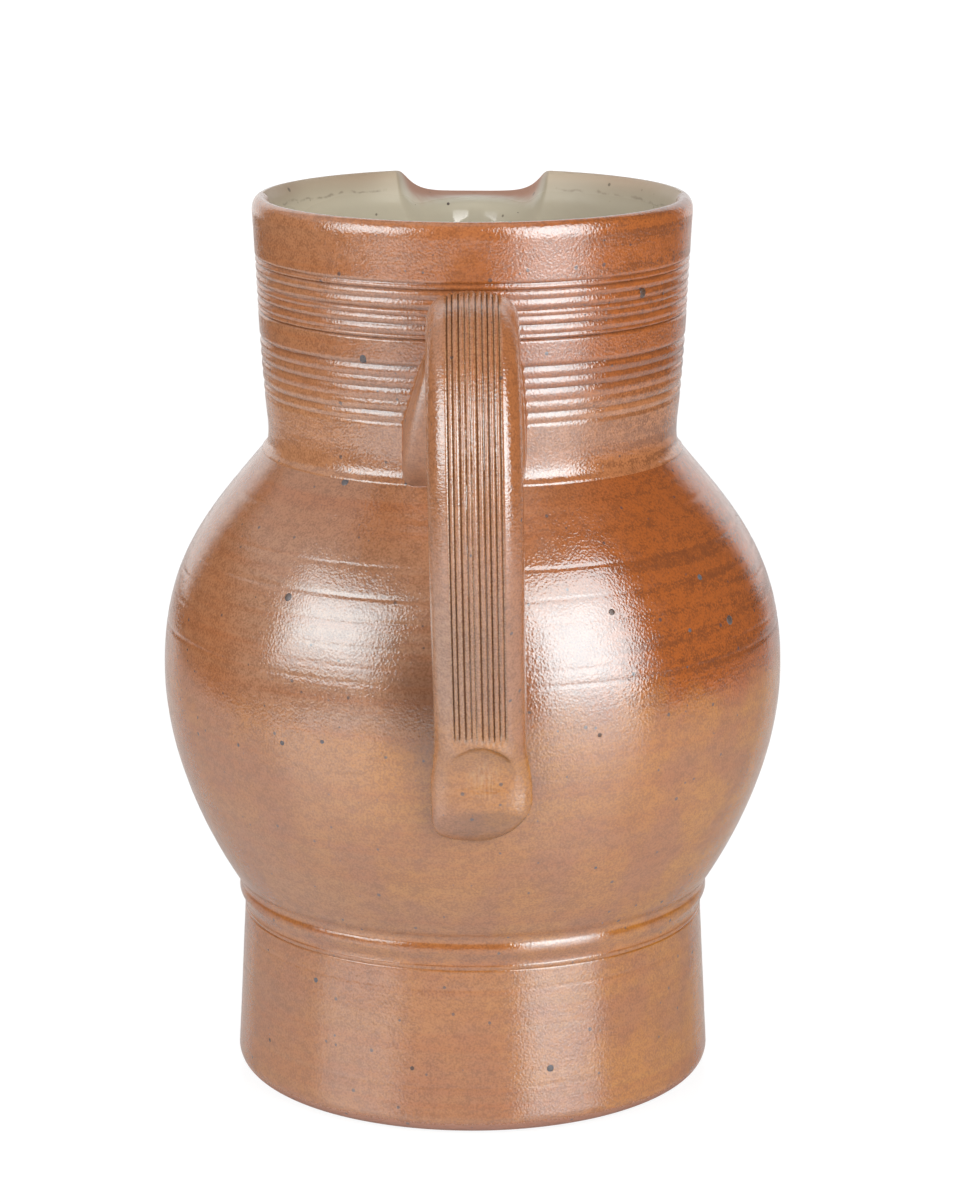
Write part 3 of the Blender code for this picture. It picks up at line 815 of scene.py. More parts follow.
        # soot stain and painted shadow of the handle, as an ellipse on the belly
        beside = (across - self.soot_and_shadow_middle[0]) * (1 / self.soot_and_shadow_size[0])
        above = (height - self.soot_and_shadow_middle[1]) * (1 / self.soot_and_shadow_size[1])
        soot_and_shadow = (beside * beside + above * above).ranged(self.soot_and_shadow_edge, 0.0, 0.0, self.soot_and_shadow_share)
        ring = (height + mottle * self.base_drift).ranged(*self.base_zone) * self.base_shade
        colour = wiring.layered(
            # paler towards the left: partly kiln flashing, partly painted reflection
            aside.ranged(*self.sheen_side_zone).mixed(self.flushed, self.flashed_and_sheened),
            # painted highlight fringe below the left highlight
            (highlight_fringe_mask, self.highlight_fringe),
            # paler lower belly, partly a painted reflection of the white table
            (lift, low),
            (streak * self.streak, self.flushed),
            # painted reflection of the table on the lower collar
            (height.ranged(*self.table_veil_zone, 0.0, self.table_veil_share), self.table_veil),
            (dark_streak, self.dark),
            (mottle * self.mottle, self.dark),
            # painted shade in grooves and on the handle's marked places
            (groove * self.groove_shade, self.dark),
            # painted glints and sheen in pale gold
            (wiring.math("MAXIMUM", ridge_glint, rubbed) * self.glint_share, self.worn),
            # soot and painted shadow left of the handle, on the front only
            (soot_and_shadow * wiring.math("LESS_THAN", along, 0.0), self.dark),
            (wiring.attribute("lip") * along.ranged(*self.lip_zone), self.thin),
            (ring, self.bare),
            (kiln["Specks"] * self.specks, self.iron))
        matt = peel["Matt"] * self.matt_mix[0] + mottle * self.matt_mix[1]
        dry = wiring.math("MAXIMUM", wiring.attribute("dry"), ring) * self.dryness
        drawn = wiring.noise(wiring.scaled(place, self.chatter_scale), 1.0, 2.0, self.seed)
        relief = wiring.bump(peel["Height"] + drawn * self.chatter, self.peel_depth)
        wiring.feed_all(shader, Base_Color=colour, Roughness=matt.ranged(0.0, 1.0, self.gloss, self.matt) + dry,
                        IOR=self.refraction, Specular_IOR_Level=self.mirror, Specular_Tint=self.cool, Normal=relief)
        return self.made()


COLLAR_WARE = Stoneware("collar_salt_glaze", flushed=(0.400, 0.116, 0.027), flashed_and_sheened=(0.400, 0.174, 0.080), gloss=0.10,
                        matt=0.22, peel_depth=0.00010, table_veil_share=0.60, seed=6.0)
NECK_WARE = replace(COLLAR_WARE, name="neck_salt_glaze", matt=0.20, table_veil_share=0.45)


@dataclass(frozen=True)
class LinerGlaze(Finish):
    """The pale grey-green glaze inside, stained brown towards the lip and freckled with iron."""

    name: str
    pale: Colour = (0.600, 0.525, 0.390)
    cool: Colour = (0.500, 0.455, 0.350)
    mottle: float = 0.2
    shade: Colour = (0.390, 0.345, 0.265)
    shade_zone: Zone = (-0.005, 0.035, 0.0, 0.9)
    stain: Colour = (0.400, 0.300, 0.220)
    stain_depth: float = 0.0100
    stain_share: Zone = (0.0, 1.0, 0.45, 1.0)
    stain_power: float = 1.6
    # painted shade: the inside darkens towards the left near the lip
    left_shade: Colour = (0.270, 0.190, 0.120)
    left_shade_zone: Zone = (-0.005, -0.030, 0.0, 0.5)
    broken: Colour = (0.360, 0.165, 0.100)
    break_scale: float = 260.0
    break_drift: float = 0.0050
    break_zone: Zone = (0.0150, 0.0070)
    break_share: float = 0.9
    beak_zone: Zone = (0.054, 0.064)
    smudge: Colour = (0.170, 0.135, 0.100)
    run_depth: float = 0.0035
    run_width: float = 0.0006
    run_scale: float = 120.0
    run_drift: float = 0.0050
    run_zone: Zone = (0.052, 0.047, 0.0, 0.5)
    smudge_scale: float = 300.0
    smudge_zone: Zone = (0.42, 0.62)
    smudge_seed: float = 7.0
    iron: Colour = (0.120, 0.095, 0.070)
    speck_scale: float = 330.0
    specks: float = 0.75
    gloss: float = 0.07
    matt: float = 0.20
    mirror: float = 0.15
    dull: float = 0.35
    dull_depth: float = 0.0150
    coat: float = 1.9
    coat_fade: float = 0.0060
    pore_scale: float = 240.0
    peel_depth: float = 0.00012
    seed: float = 3.0

    def material(self, effects: Effects) -> Material:
        """Build the material.

        Args:
            effects: The shared effect groups.

        Returns:
            The material.
        """
        wiring, shader, place = self.begin()
        kiln = wiring.effect(effects.kiln, Place=place, Speck=self.speck_scale, Seed=self.seed)
        peel = wiring.effect(effects.peel, Place=place, Pore=self.pore_scale, Seed=self.seed)
        across, along, _ = wiring.parts(place)
        from_edge = wiring.attribute("from_edge")
        edge = (1.0 - from_edge.ranged(0.0, self.stain_depth)) * kiln["Flush"].ranged(*self.stain_share)
        worn = from_edge + wiring.noise(place, self.break_scale, 3.0, self.seed) * self.break_drift
        worn = worn.ranged(*self.break_zone) * along.ranged(*self.beak_zone) * self.break_share
        waver = wiring.noise(place, self.run_scale, 3.0, self.seed) * self.run_drift
        run = wiring.math("ABSOLUTE", from_edge - self.run_depth - waver).ranged(self.run_width, 0.0)
        run = run * wiring.noise(place, self.smudge_scale, 3.0, self.smudge_seed).ranged(*self.smudge_zone)
        colour = wiring.layered(
            kiln["Flush"].mixed(self.pale, self.cool),
            (kiln["Mottle"] * self.mottle, self.cool),
            (across.ranged(*self.shade_zone), self.shade),
            (wiring.math("POWER", edge, self.stain_power), self.stain),
            # painted shade on the left near the lip
            (edge * across.ranged(*self.left_shade_zone), self.left_shade),
            (worn, self.broken),
            (run * along.ranged(*self.run_zone), self.smudge),
            (kiln["Specks"] * self.specks, self.iron))
        rough = peel["Matt"].ranged(0.0, 1.0, self.gloss, self.matt)
        wiring.feed_all(shader, Base_Color=colour,
                        Roughness=rough + from_edge.ranged(self.dull_depth, 0.0, 0.0, self.dull),
                        Coat_Weight=from_edge.ranged(self.dull_depth, self.dull_depth + self.coat_fade),
                        Specular_IOR_Level=self.mirror, Coat_Roughness=self.gloss, Coat_IOR=self.coat,
                        Normal=wiring.bump(peel["Height"], self.peel_depth))
        return self.made()


@dataclass(frozen=True)
class FiredIron(Finish):
    """A speck of iron that has melted through the glaze, blue-grey and glossy."""

    name: str
    blue: Colour = (0.105, 0.105, 0.115)
    brown: Colour = (0.085, 0.045, 0.028)
    tone_scale: float = 140.0
    tone_zone: Zone = (0.4, 0.6)
    mottle: float = 0.4
    rough_zone: Zone = (0.0, 1.0, 0.25, 0.45)
    seed: float = 5.0

    def material(self, effects: Effects) -> Material:
        """Build the material.

        Args:
            effects: The shared effect groups.

        Returns:
            The material.
        """
        wiring, shader, place = self.begin()
        mottle = wiring.effect(effects.kiln, Place=place, Seed=self.seed)["Mottle"]
        tone = wiring.noise(place, self.tone_scale, 1.0, self.seed).ranged(*self.tone_zone)
        colour = wiring.layered(tone.mixed(self.blue, self.brown), (mottle * self.mottle, self.brown))
        wiring.feed_all(shader, Base_Color=colour, Roughness=mottle.ranged(*self.rough_zone))
        return self.made()


@dataclass(frozen=True)
class StudioPaper(Finish):
    """White studio paper: it shows as plain white and still takes a soft shadow."""

    name: str
    black: Colour = (0.0, 0.0, 0.0)
    white: Colour = (0.78, 0.78, 0.78)
    tone_scale: float = 30.0
    tone_zone: Zone = (0.3, 0.7, 0.98, 1.0)
    roughness: float = 0.14
    glow: float = 0.80
    mirrored: float = 0.0
    glow_strength: float = 1.12

    def material(self) -> Material:
        """Build the material.

        Returns:
            The material.
        """
        wiring, shader, place = self.begin()
        tone = wiring.noise(place, self.tone_scale, 2.0, 1.0).ranged(*self.tone_zone)
        wiring.feed_all(shader, Base_Color=tone.mixed(self.black, self.white), Roughness=self.roughness)
        seen, glossy = (wiring.out("ShaderNodeLightPath", None, ray) for ray in ("Is Camera Ray", "Is Glossy Ray"))
        direct = wiring.math("MAXIMUM", seen * self.glow, glossy * self.mirrored)
        light = wiring.out("ShaderNodeEmission", {"Strength": self.glow_strength})
        mix = wiring.out("ShaderNodeMixShader", {0: direct, 1: Value(wiring, shader.outputs[0]), 2: light})
        wiring.feed(wiring.tree.nodes["Material Output"].inputs[0], mix)
        return self.made()


# The thrown body


@dataclass(frozen=True)
class Ware:
    """Outline of the thrown foot, belly and collar, as radii and heights in metres."""

    foot_top: float = FOOT_BOX[1].z
    foot_radius: float = FOOT_BOX[1].x
    foot_top_radius: float = 0.0654
    foot_wall: float = 0.0075
    base_round: float = 0.0050
    floor: float = 0.0090
    floor_cove: float = 0.0140
    cove_steps: int = 12
    belly_base: float = BELLY_BOX[0].z
    belly_top: float = BELLY_BOX[1].z
    belly_radius: float = BELLY_BOX[1].x
    equator_rise: float = 0.0690
    shoulder_radius: float = 0.0583
    belly_wall: float = 0.0062
    fillet: float = 0.0018
    bead: float = 0.0058
    bead_bulge: float = 0.0015
    bead_notch: float = 0.0003
    spring_angle: float = 56.5
    shoulder_angle: float = 50.0
    spring_fullness: float = 0.21
    lower_fullness: float = 0.43
    upper_fullness: float = 0.49
    shoulder_fullness: float = 0.40
    collar_base: float = COLLAR_BOX[0].z
    rim: float = COLLAR_BOX[1].z
    collar_foot_radius: float = 0.0563
    rim_radius: float = 0.0609
    collar_wall: float = 0.0056
    lip_round: float = 0.0045
    lower_flare: float = 0.66
    upper_flare: float = 0.68
    curve_steps: int = 150
    inside_stride: int = 4
    slope_step: float = 0.0002

    @property
    def lip_base(self) -> float:
        """Height where the collar's wall starts to round over."""
        return self.rim - self.lip_round

    @property
    def equator(self) -> float:
        """Height of the belly's greatest radius."""
        return self.belly_base + self.equator_rise

    @property
    def foot_bore(self) -> float:
        """Inner radius at the foot joint."""
        return self.foot_top_radius - self.foot_wall

    @property
    def neck_bore(self) -> float:
        """Inner radius at the neck joint."""
        return self.collar_foot_radius - self.collar_wall

    def belly_curve(self) -> Array:
        """Outside of the globe from its spring above the bead to the shoulder.

        Returns:
            One row of radius and height for each point.
        """
        spring = np.array((self.foot_top_radius + self.bead_bulge - self.bead_notch,
                           self.belly_base + self.fillet + self.bead))
        widest = np.array((self.belly_radius, self.equator))
        shoulder = np.array((self.shoulder_radius, self.belly_top))
        lower = self.equator - spring[1]
        upper = self.belly_top - self.equator
        rise = bezier(spring, spring + polar(lower * self.spring_fullness, self.spring_angle),
                      widest - (0, lower * self.lower_fullness), widest, self.curve_steps)
        close = bezier(widest, widest + (0, upper * self.upper_fullness),
                       shoulder + polar(upper * self.shoulder_fullness, -self.shoulder_angle),
                       shoulder, self.curve_steps)
        return np.vstack((rise, close[1:]))

    def collar_radius(self, height: float | Array) -> float | Array:
        """Plain outside radius of the collar at a height."""
        t = (height - self.collar_base) / (self.lip_base - self.collar_base)
        flare = 3 * (1 - t) * t * (self.lower_flare * (1 - t) + self.upper_flare * t) + t ** 3
        return blend(self.collar_foot_radius, self.rim_radius, flare)

    def outside(self) -> Array:
        """Plain outside of belly and collar, from the spring to the lip."""
        heights = np.linspace(self.collar_base, self.lip_base, self.curve_steps)
        return np.vstack((self.belly_curve(), np.column_stack((self.collar_radius(heights), heights))))

    def outside_radius(self, height: float | Array) -> float | Array:
        """Plain outside radius of belly and collar at a height."""
        return radius_at(self.outside(), height)

    def outside_normal(self, points: Array) -> Array:
        """Directions that point straight out of the body near some points."""
        return facing_out(self.outside(), points, self.slope_step)

    def above_surface(self, points: Array) -> Array:
        """How far points stand out of the body, along the radius."""
        return np.hypot(points[..., 0], points[..., 1]) - self.outside_radius(points[..., 2])

    def seated(self, points: Array, sunk: float) -> Array:
        """Points moved along the radius until they lie a little under the body's surface."""
        share = (self.outside_radius(points[:, 2]) - sunk) / np.hypot(points[:, 0], points[:, 1])
        return np.column_stack((points[:, 0] * share, points[:, 1] * share, points[:, 2]))

    def foot_inside(self) -> Array:
        """Inside of the foot from the middle of the floor to the joint."""
        cove = arc((self.foot_bore - self.floor_cove, self.floor + self.floor_cove), self.floor_cove,
                   self.floor_cove, -90, 0, self.cove_steps)
        return np.vstack(([(0.0, self.floor)], cove, [(self.foot_bore, self.foot_top)]))

    def belly_inside(self) -> Array:
        """Inside of the globe from the foot joint to the neck joint."""
        wall = inset(self.belly_curve(), self.belly_wall)[::self.inside_stride]
        kept = wall[(wall[:, 1] > self.belly_base) & (wall[:, 1] < self.belly_top)]
        return np.vstack(([(self.foot_bore, self.belly_base)], kept, [(self.neck_bore, self.belly_top)]))


@dataclass
class Workshop:
    """What every sub-assembly needs: the outline, the shaping trees and the shared effects."""

    ware: Ware = field(default_factory=Ware)
    turning: NodeGroup = field(default_factory=Turning().tree)
    combing: NodeGroup = field(default_factory=Combing().tree)
    scattering: NodeGroup = field(default_factory=Scattering().tree)
    effects: Effects = field(default_factory=Effects)
    segments: int = 240
    wobble_rise: float = 60.0
    cut_gaps: float = 0.8
    comb_drift: float = 0.25

    def seat(self, piece: Piece, slot: str, *nodes: str) -> Piece:
        """Fix a piece to the body, in place of the solids that it stands for.

        Args:
            piece: The finished piece.
            slot: Material slot of the record; not used.
            nodes: Solids of the frame that the piece stands for.

        Returns:
            The piece.
        """
        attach(piece, BODY)
        if nodes:
            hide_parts(*nodes)
        LOG.info("%s: %d points, stands for %s", piece.name, len(piece.data.vertices), ", ".join(nodes) or "itself")
        return piece

    def coat(self, name: str, points: Array, faces: list, finish: Material, node: str, **layers: Array) -> Piece:
        """A coat of slip or glaze.

        Args:
            name: Name of the piece.
            points: Its points.
            faces: Its faces.
            finish: Its material.
            node: Solid of the frame that it stands for.
            layers: Numbers for each point, by name.

        Returns:
            The piece.
        """
        piece = new_object(name, points, faces)
        add_attributes(piece, **layers)
        tidy_mesh(piece)
        piece.data.materials.append(finish)
        return self.seat(piece, node, node)

    def turned(self, name: str, profile: Array, cuts: Array, finish: Stoneware, wobble: float, seed: float
               ) -> Piece:
        """A piece turned from a profile.

        Args:
            name: Name of the piece.
            profile: Radii and heights, from pole to pole or closed.
            cuts: Depth of tool marks at each point of the profile.
            finish: Finish of the piece.
            wobble: Greatest unevenness of the wall.
            seed: Choice of the unevenness.

        Returns:
            The piece.
        """
        piece = new_object(name, np.insert(profile, 1, 0.0, axis=1), [])
        add_attributes(piece, cut=cuts)
        self.turning.apply(piece, Segments=self.segments, Wobble=wobble, Wobble_Rise=self.wobble_rise,
                           Cut_Gaps=self.cut_gaps, Seed=seed, Finish=finish.material(self.effects))
        tidy_mesh(piece)
        return piece


@dataclass
class FootDrum:
    """The thrown foot, with its floor, flat base and scored lines.

    Each line has a height, half a width and a depth.
    """

    shop: Workshop
    edge_round: float = 0.0005
    wobble: float = 0.00012
    lines: tuple[Triple, ...] = ((0.0135, 0.0005, 0.00012), (0.0305, 0.0005, 0.00012), (0.0412, 0.0005, 0.00012))
    line_gap: float = 0.001
    flat_steps: int = 8
    base_steps: int = 14
    side_steps: int = 90
    edge_steps: int = 5
    seed: float = 1.0

    def build(self) -> Piece:
        """Make the foot.

        Returns:
            The piece.
        """
        ware = self.shop.ware
        rounded, small = ware.base_round, self.edge_round
        edge = arc((ware.foot_radius - rounded, rounded), rounded, rounded, -90, 0, self.base_steps)
        top = ware.foot_top - small
        side = line(edge[-1], (ware.foot_top_radius, top), self.side_steps)[1:]
        corner = arc((ware.foot_top_radius - small, top), small, small, 0, 90, self.edge_steps)[1:]
        flat = line((0.0, 0.0), edge[0], self.flat_steps)[:-1]
        profile = np.vstack((flat, edge, side, corner, ware.foot_inside()[::-1]))
        cuts = tool_marks(profile[:, 1], self.lines) * (profile[:, 0] > ware.foot_bore + self.line_gap)
        finish = Stoneware("foot_salt_glaze", base_shade=0.85, seed=self.seed)
        piece = self.shop.turned("foot_drum_ware", profile, cuts, finish, self.wobble, self.seed)
        return self.shop.seat(piece, "foot_stoneware", "foot_drum")


@dataclass
class BellyGlobe:
    """The thrown globe, with its fillet, bead and throwing lines.

    Each throwing line has a height, half a width and a depth.
    """

    shop: Workshop
    wobble: float = 0.00016
    bead_run: float = 0.0012
    bead_steps: int = 14
    crest_angle: float = 40.0
    crest_steps: int = 10
    plain_steps: int = 3
    hollow_steps: int = 14
    hollow_depth: float = 0.0001
    hollow_leave: float = 0.0019
    hollow_arrive: float = 0.0026
    lines: tuple[Triple, ...] = (
        (0.0600, 0.0008, 0.00010), (0.0850, 0.0008, 0.00008), (0.1060, 0.0008, 0.00008), (0.1313, 0.0006, 0.00022),
        (0.1352, 0.0006, 0.00014), (0.1405, 0.0006, 0.00010), (0.1470, 0.0006, 0.00014), (0.1527, 0.0007, 0.00020),
        (0.1600, 0.0006, 0.00022), (0.1700, 0.0012, 0.00012),
    )
    seed: float = 2.0

    def build(self) -> Piece:
        """Make the globe.

        Returns:
            The piece.
        """
        ware = self.shop.ware
        fillet, half = ware.belly_base + ware.fillet, ware.bead / 2
        rise = np.linspace(0, 1, self.bead_steps)[:-1]
        swell = np.column_stack((ware.foot_top_radius + ware.bead_bulge * smooth(rise),
                                 fillet + blend(-self.bead_run, half, rise)))
        crest = arc((ware.foot_top_radius, fillet + half), ware.bead_bulge, half, 0, self.crest_angle, self.crest_steps)
        bead = np.vstack((swell, crest))
        curve = ware.belly_curve()[self.hollow_steps:]
        bridge = bezier(bead[-1], bead[-1] + (-self.hollow_depth, self.hollow_leave),
                        curve[0] - unit(curve[1] - curve[0]) * self.hollow_arrive, curve[0], self.hollow_steps)[1:-1]
        plain = line((ware.foot_top_radius, ware.belly_base), bead[0], self.plain_steps)[:-1]
        outside = np.vstack((plain, bead, bridge, curve))
        profile = np.vstack((outside, ware.belly_inside()[::-1], outside[:1]))
        cuts = np.zeros(len(profile))
        cuts[:len(outside)] = tool_marks(outside[:, 1], self.lines)
        finish = Stoneware("belly_salt_glaze", soot_and_shadow_share=0.48, seed=self.seed)
        piece = self.shop.turned("belly_globe_ware", profile, cuts, finish, self.wobble, self.seed)
        return self.shop.seat(piece, "belly_stoneware", "belly_globe")


@dataclass
class JointRings:
    """Slip smoothed round the two thrown joints.

    The seam's points are measured from the top of the foot and from the base of the belly,
    and the ledge's from the shoulder.
    """

    shop: Workshop
    wobble: float = 0.0001
    seam_foot: tuple[Pair, ...] = ((-0.0004, -0.0004), (-0.00018, 0.0), (-0.00002, 0.0004), (0.00002, 0.0008))
    seam_belly: tuple[Pair, ...] = ((0.00002, 0.0001), (-0.0002, 0.0004))
    ledge: tuple[Pair, ...] = ((0.0006, -0.0010), (0.00062, -0.00062), (0.00052, -0.00030), (0.00030, -0.00005))
    neck_fillet: float = 0.0100
    neck_depth: float = 0.0030
    neck_sunk: Pair = (-0.0004, 0.0004)
    neck_steps: int = 24
    slope_step: float = 0.001
    foot_seed: float = 4.0
    neck_seed: float = 5.0

    def build(self) -> list[Piece]:
        """Make both rings.

        Returns:
            The pieces.
        """
        ware = self.shop.ware
        seam = np.vstack((np.add((ware.foot_top_radius, ware.foot_top), self.seam_foot),
                          np.add((ware.foot_top_radius, ware.belly_base), self.seam_belly)))
        slip = Stoneware("joint_slip", flushed=(0.340, 0.100, 0.026), flashed_and_sheened=(0.365, 0.142, 0.058), seed=self.foot_seed)
        ledge = np.add((ware.shoulder_radius, ware.belly_top), self.ledge)
        first = ledge[-1]
        top = ware.collar_base + self.neck_fillet
        wall = np.array((float(ware.collar_radius(top)), top))
        lean = (wall[0] - float(ware.collar_radius(top - self.slope_step))) / self.slope_step
        run = (first[0] - wall[0]) / math.cos(math.radians(ware.shoulder_angle))
        corner = first + polar(run, 180.0 - ware.shoulder_angle)
        arrive = np.array((wall[0] - lean * (wall[1] - corner[1]), corner[1]))
        hollow = bezier(first, corner, arrive, wall, self.neck_steps)[1:]
        neck = np.vstack((ledge, hollow, [wall + self.neck_sunk]))
        pieces = []
        for name, core, outline, finish, seed, node in (
                ("foot_joint_slip", ware.foot_bore, seam, slip, self.foot_seed, "foot_slip"),
                ("neck_joint_slip", ware.collar_foot_radius - self.neck_depth, neck, NECK_WARE, self.neck_seed,
                 "neck_slip")):
            profile = closed_to(core, outline)
            piece = self.shop.turned(name, profile, np.zeros(len(profile)), finish, self.wobble, seed)
            pieces.append(self.shop.seat(piece, node, node))
        return pieces


# The collar and the beak share one surface, so that the beak grows out of the collar without a step


@dataclass(frozen=True)
class MouthShape:
    """Surface of the collar with its beak, over bearings and along the wall from outside to inside."""

    ware: Ware
    half_angle: float = 24.0
    foot_angle: float = 13.0
    reach: float = 0.0240
    tip_radius: float = BEAK_BOX[1].y
    tip_round: float = 0.0012
    lip_drop: float = 0.0090
    lip_wall: float = 0.0030
    lip_bevel: float = 0.0009
    lip_hold: float = 0.0022
    keel_base: float = 0.0365
    keel_leave: Pair = (0.0010, 0.0095)
    keel_arrive: Pair = (0.0105, 0.0012)
    lip_reach: float = 0.0130
    lip_rise: float = 0.0042
    trough_angle: float = 70.0
    trough_leave: Pair = (0.0012, 0.0070)
    trough_climb: float = 0.0100
    trough_bend: float = 0.0034
    trough_arrive: Pair = (0.0078, 0.0016)
    dip_middle: float = 0.0004
    dip_half_width: float = 0.0210
    dip_power: float = 6.5
    dip_round: float = 0.88
    dip_sag: float = 0.36
    dip_soften: float = 2.0
    bell_power: float = 1.5
    bell_margin: float = 1.0
    plain_rows: int = 110
    plain_stride: int = 6
    window_rows: int = 124
    lip_rows: int = 16
    inner_rows: int = 40
    fine_columns: int = 150
    coarse_columns: int = 190

    def bearings(self) -> Array:
        """Bearings of the columns in degrees, close together round the beak."""
        half = self.half_angle
        fine = np.linspace(180 - half, 180 + half, self.fine_columns + 1)
        coarse = np.linspace(180 + half, 540 - half, self.coarse_columns + 1)[1:-1]
        return np.concatenate((fine, coarse))

    def weight(self, bearings: Array, rise: Array) -> Array:
        """How far the beak has grown out, for each rise (rows) and bearing (columns)."""
        half = blend(self.foot_angle, self.half_angle - self.bell_margin, smooth(rise))[:, None]
        aside = (bearings[None, :] - 180.0) / half
        return np.clip(1 - aside ** 2, 0, None) ** self.bell_power

    def lip_fall(self, bearings: Array) -> Array:
        """How far the lip has dropped at each bearing.

        Args:
            bearings: Bearings of the columns.

        Returns:
            Numbers from 0 at the rim to 1 at the beak's end.
        """
        radius = self.ware.rim_radius + self.reach * self.weight(bearings, np.ones(1))[0]
        across = radius * np.sin(np.radians(bearings))
        aside = np.abs(across - self.dip_middle) / self.dip_half_width
        beside = np.clip((self.half_angle - np.abs(bearings - 180.0)) / self.dip_soften, 0, 1)
        fallen = np.clip(1 - aside ** self.dip_power, 0, None) ** self.dip_round
        fallen *= (1 - self.dip_sag * np.clip(aside, 0, 1) ** 2) * (beside > 0)
        spread = self.dip_soften * self.fine_columns / (2 * self.half_angle)
        count = math.ceil(3 * spread)
        kernel = np.exp(-0.5 * (np.arange(-count, count + 1) / spread) ** 2)
        fine = self.fine_columns + 1
        fallen[:fine] = np.convolve(fallen[:fine], kernel / kernel.sum(), "same")
        return fallen * beside

    def plain(self, heights: Array, thickness: float = 0.0) -> Array:
        """Plain wall of the collar at some heights, at a thickness below its outside."""
        return np.column_stack((self.ware.collar_radius(heights) - thickness, heights))

    def keel(self, start: Array) -> Array:
        """Middle line of the beak's underside, from the wall to the lip."""
        end = np.array((self.tip_radius - self.tip_round, self.ware.rim - self.lip_drop - self.lip_wall))
        return bezier(start, start + self.keel_leave, end - self.keel_arrive, end, self.window_rows - 1)

    def trough(self, start: Array) -> Array:
        """Middle line of the beak's inside, from the wall over a bend to the lip.

        Args:
            start: Point on the collar's inside.

        Returns:
            One row of radius and height for each point.
        """
        end = np.array((self.tip_radius - self.tip_round, self.ware.rim - self.lip_drop - self.lip_bevel))
        bend = end - (self.lip_reach, self.lip_rise)
        steep = polar(1.0, self.trough_angle)
        steps = self.inner_rows * 2 // 3
        climb = bezier(start, start + self.trough_leave, bend - steep * self.trough_climb, bend, steps - 1)
        level = bezier(bend, bend + steep * self.trough_bend, end - self.trough_arrive, end, self.inner_rows - steps)
        return np.vstack((climb, level[1:]))

    def grid(self) -> tuple[Array, Array, dict[str, int]]:
        """Work out the surface.

        Returns:
            Points by row and column, rows first; the bearings; and the first row of each stretch.
        """
        ware, bearings = self.ware, self.bearings()
        split = ware.rim - self.keel_base
        fall = self.lip_fall(bearings)
        walls = []
        for rows, thickness, middle_line in ((self.window_rows, 0.0, self.keel),
                                             (self.inner_rows, ware.collar_wall, self.trough)):
            rise = np.linspace(0, 1, rows)
            wall = self.plain(blend(split, ware.lip_base, rise), thickness)
            walls.append(self.morphed(wall, middle_line(wall[0]), bearings, rise, fall))
        outer, inner = walls
        lip = self.lip(outer, inner)
        low = np.linspace(ware.collar_base, split, self.plain_rows, endpoint=False)
        outer_low, inner_low = (np.repeat(wall[:, None, :], len(bearings), axis=1) for wall in (
            self.plain(low), self.plain(low, ware.collar_wall)[::self.plain_stride]))
        ends = np.cumsum([len(part) for part in (outer_low, outer, lip, inner)])
        stretches = dict(zip(("window", "lip", "inner", "inner_low"), ends.tolist()))
        flat = np.concatenate((outer_low, outer, lip, inner[::-1], inner_low[::-1]))
        return swept(flat[..., 0], bearings, flat[..., 1]), bearings, stretches

    def morphed(self, wall: Array, beak: Array, bearings: Array, rise: Array, fall: Array) -> Array:
        """Blend a plain wall into the beak's middle line, bearing by bearing.

        Args:
            wall: The plain wall.
            beak: The beak's middle line.
            bearings: Bearings of the columns.
            rise: How far up each row lies.
            fall: How far the lip has dropped at each bearing.

        Returns:
            Radius and height by row and column.
        """
        grown = self.weight(bearings, rise)[..., None]
        shape = wall[:, None, :] * (1 - grown) + beak[:, None, :] * grown
        wanted = blend(wall[-1, 1], beak[-1, 1], fall)
        shape[..., 1] += (wanted - shape[-1, :, 1])[None, :] * (rise ** 2)[:, None]
        return shape

    def lip(self, outer: Array, inner: Array) -> Array:
        """Round the lip over from the outer wall to the inner one."""
        start, end = outer[-1], inner[-1]
        leave, arrive = unit(start - outer[-4]), unit(end - inner[-3])
        gap = np.linalg.norm(end - start, axis=-1, keepdims=True)
        hold = blend(self.lip_hold, self.ware.lip_round * 4 / 3, np.clip(gap / self.ware.collar_wall, 0, 1))
        return bezier(start, start + hold * leave, end + hold * arrive, end, self.lip_rows + 1)[1:-1]


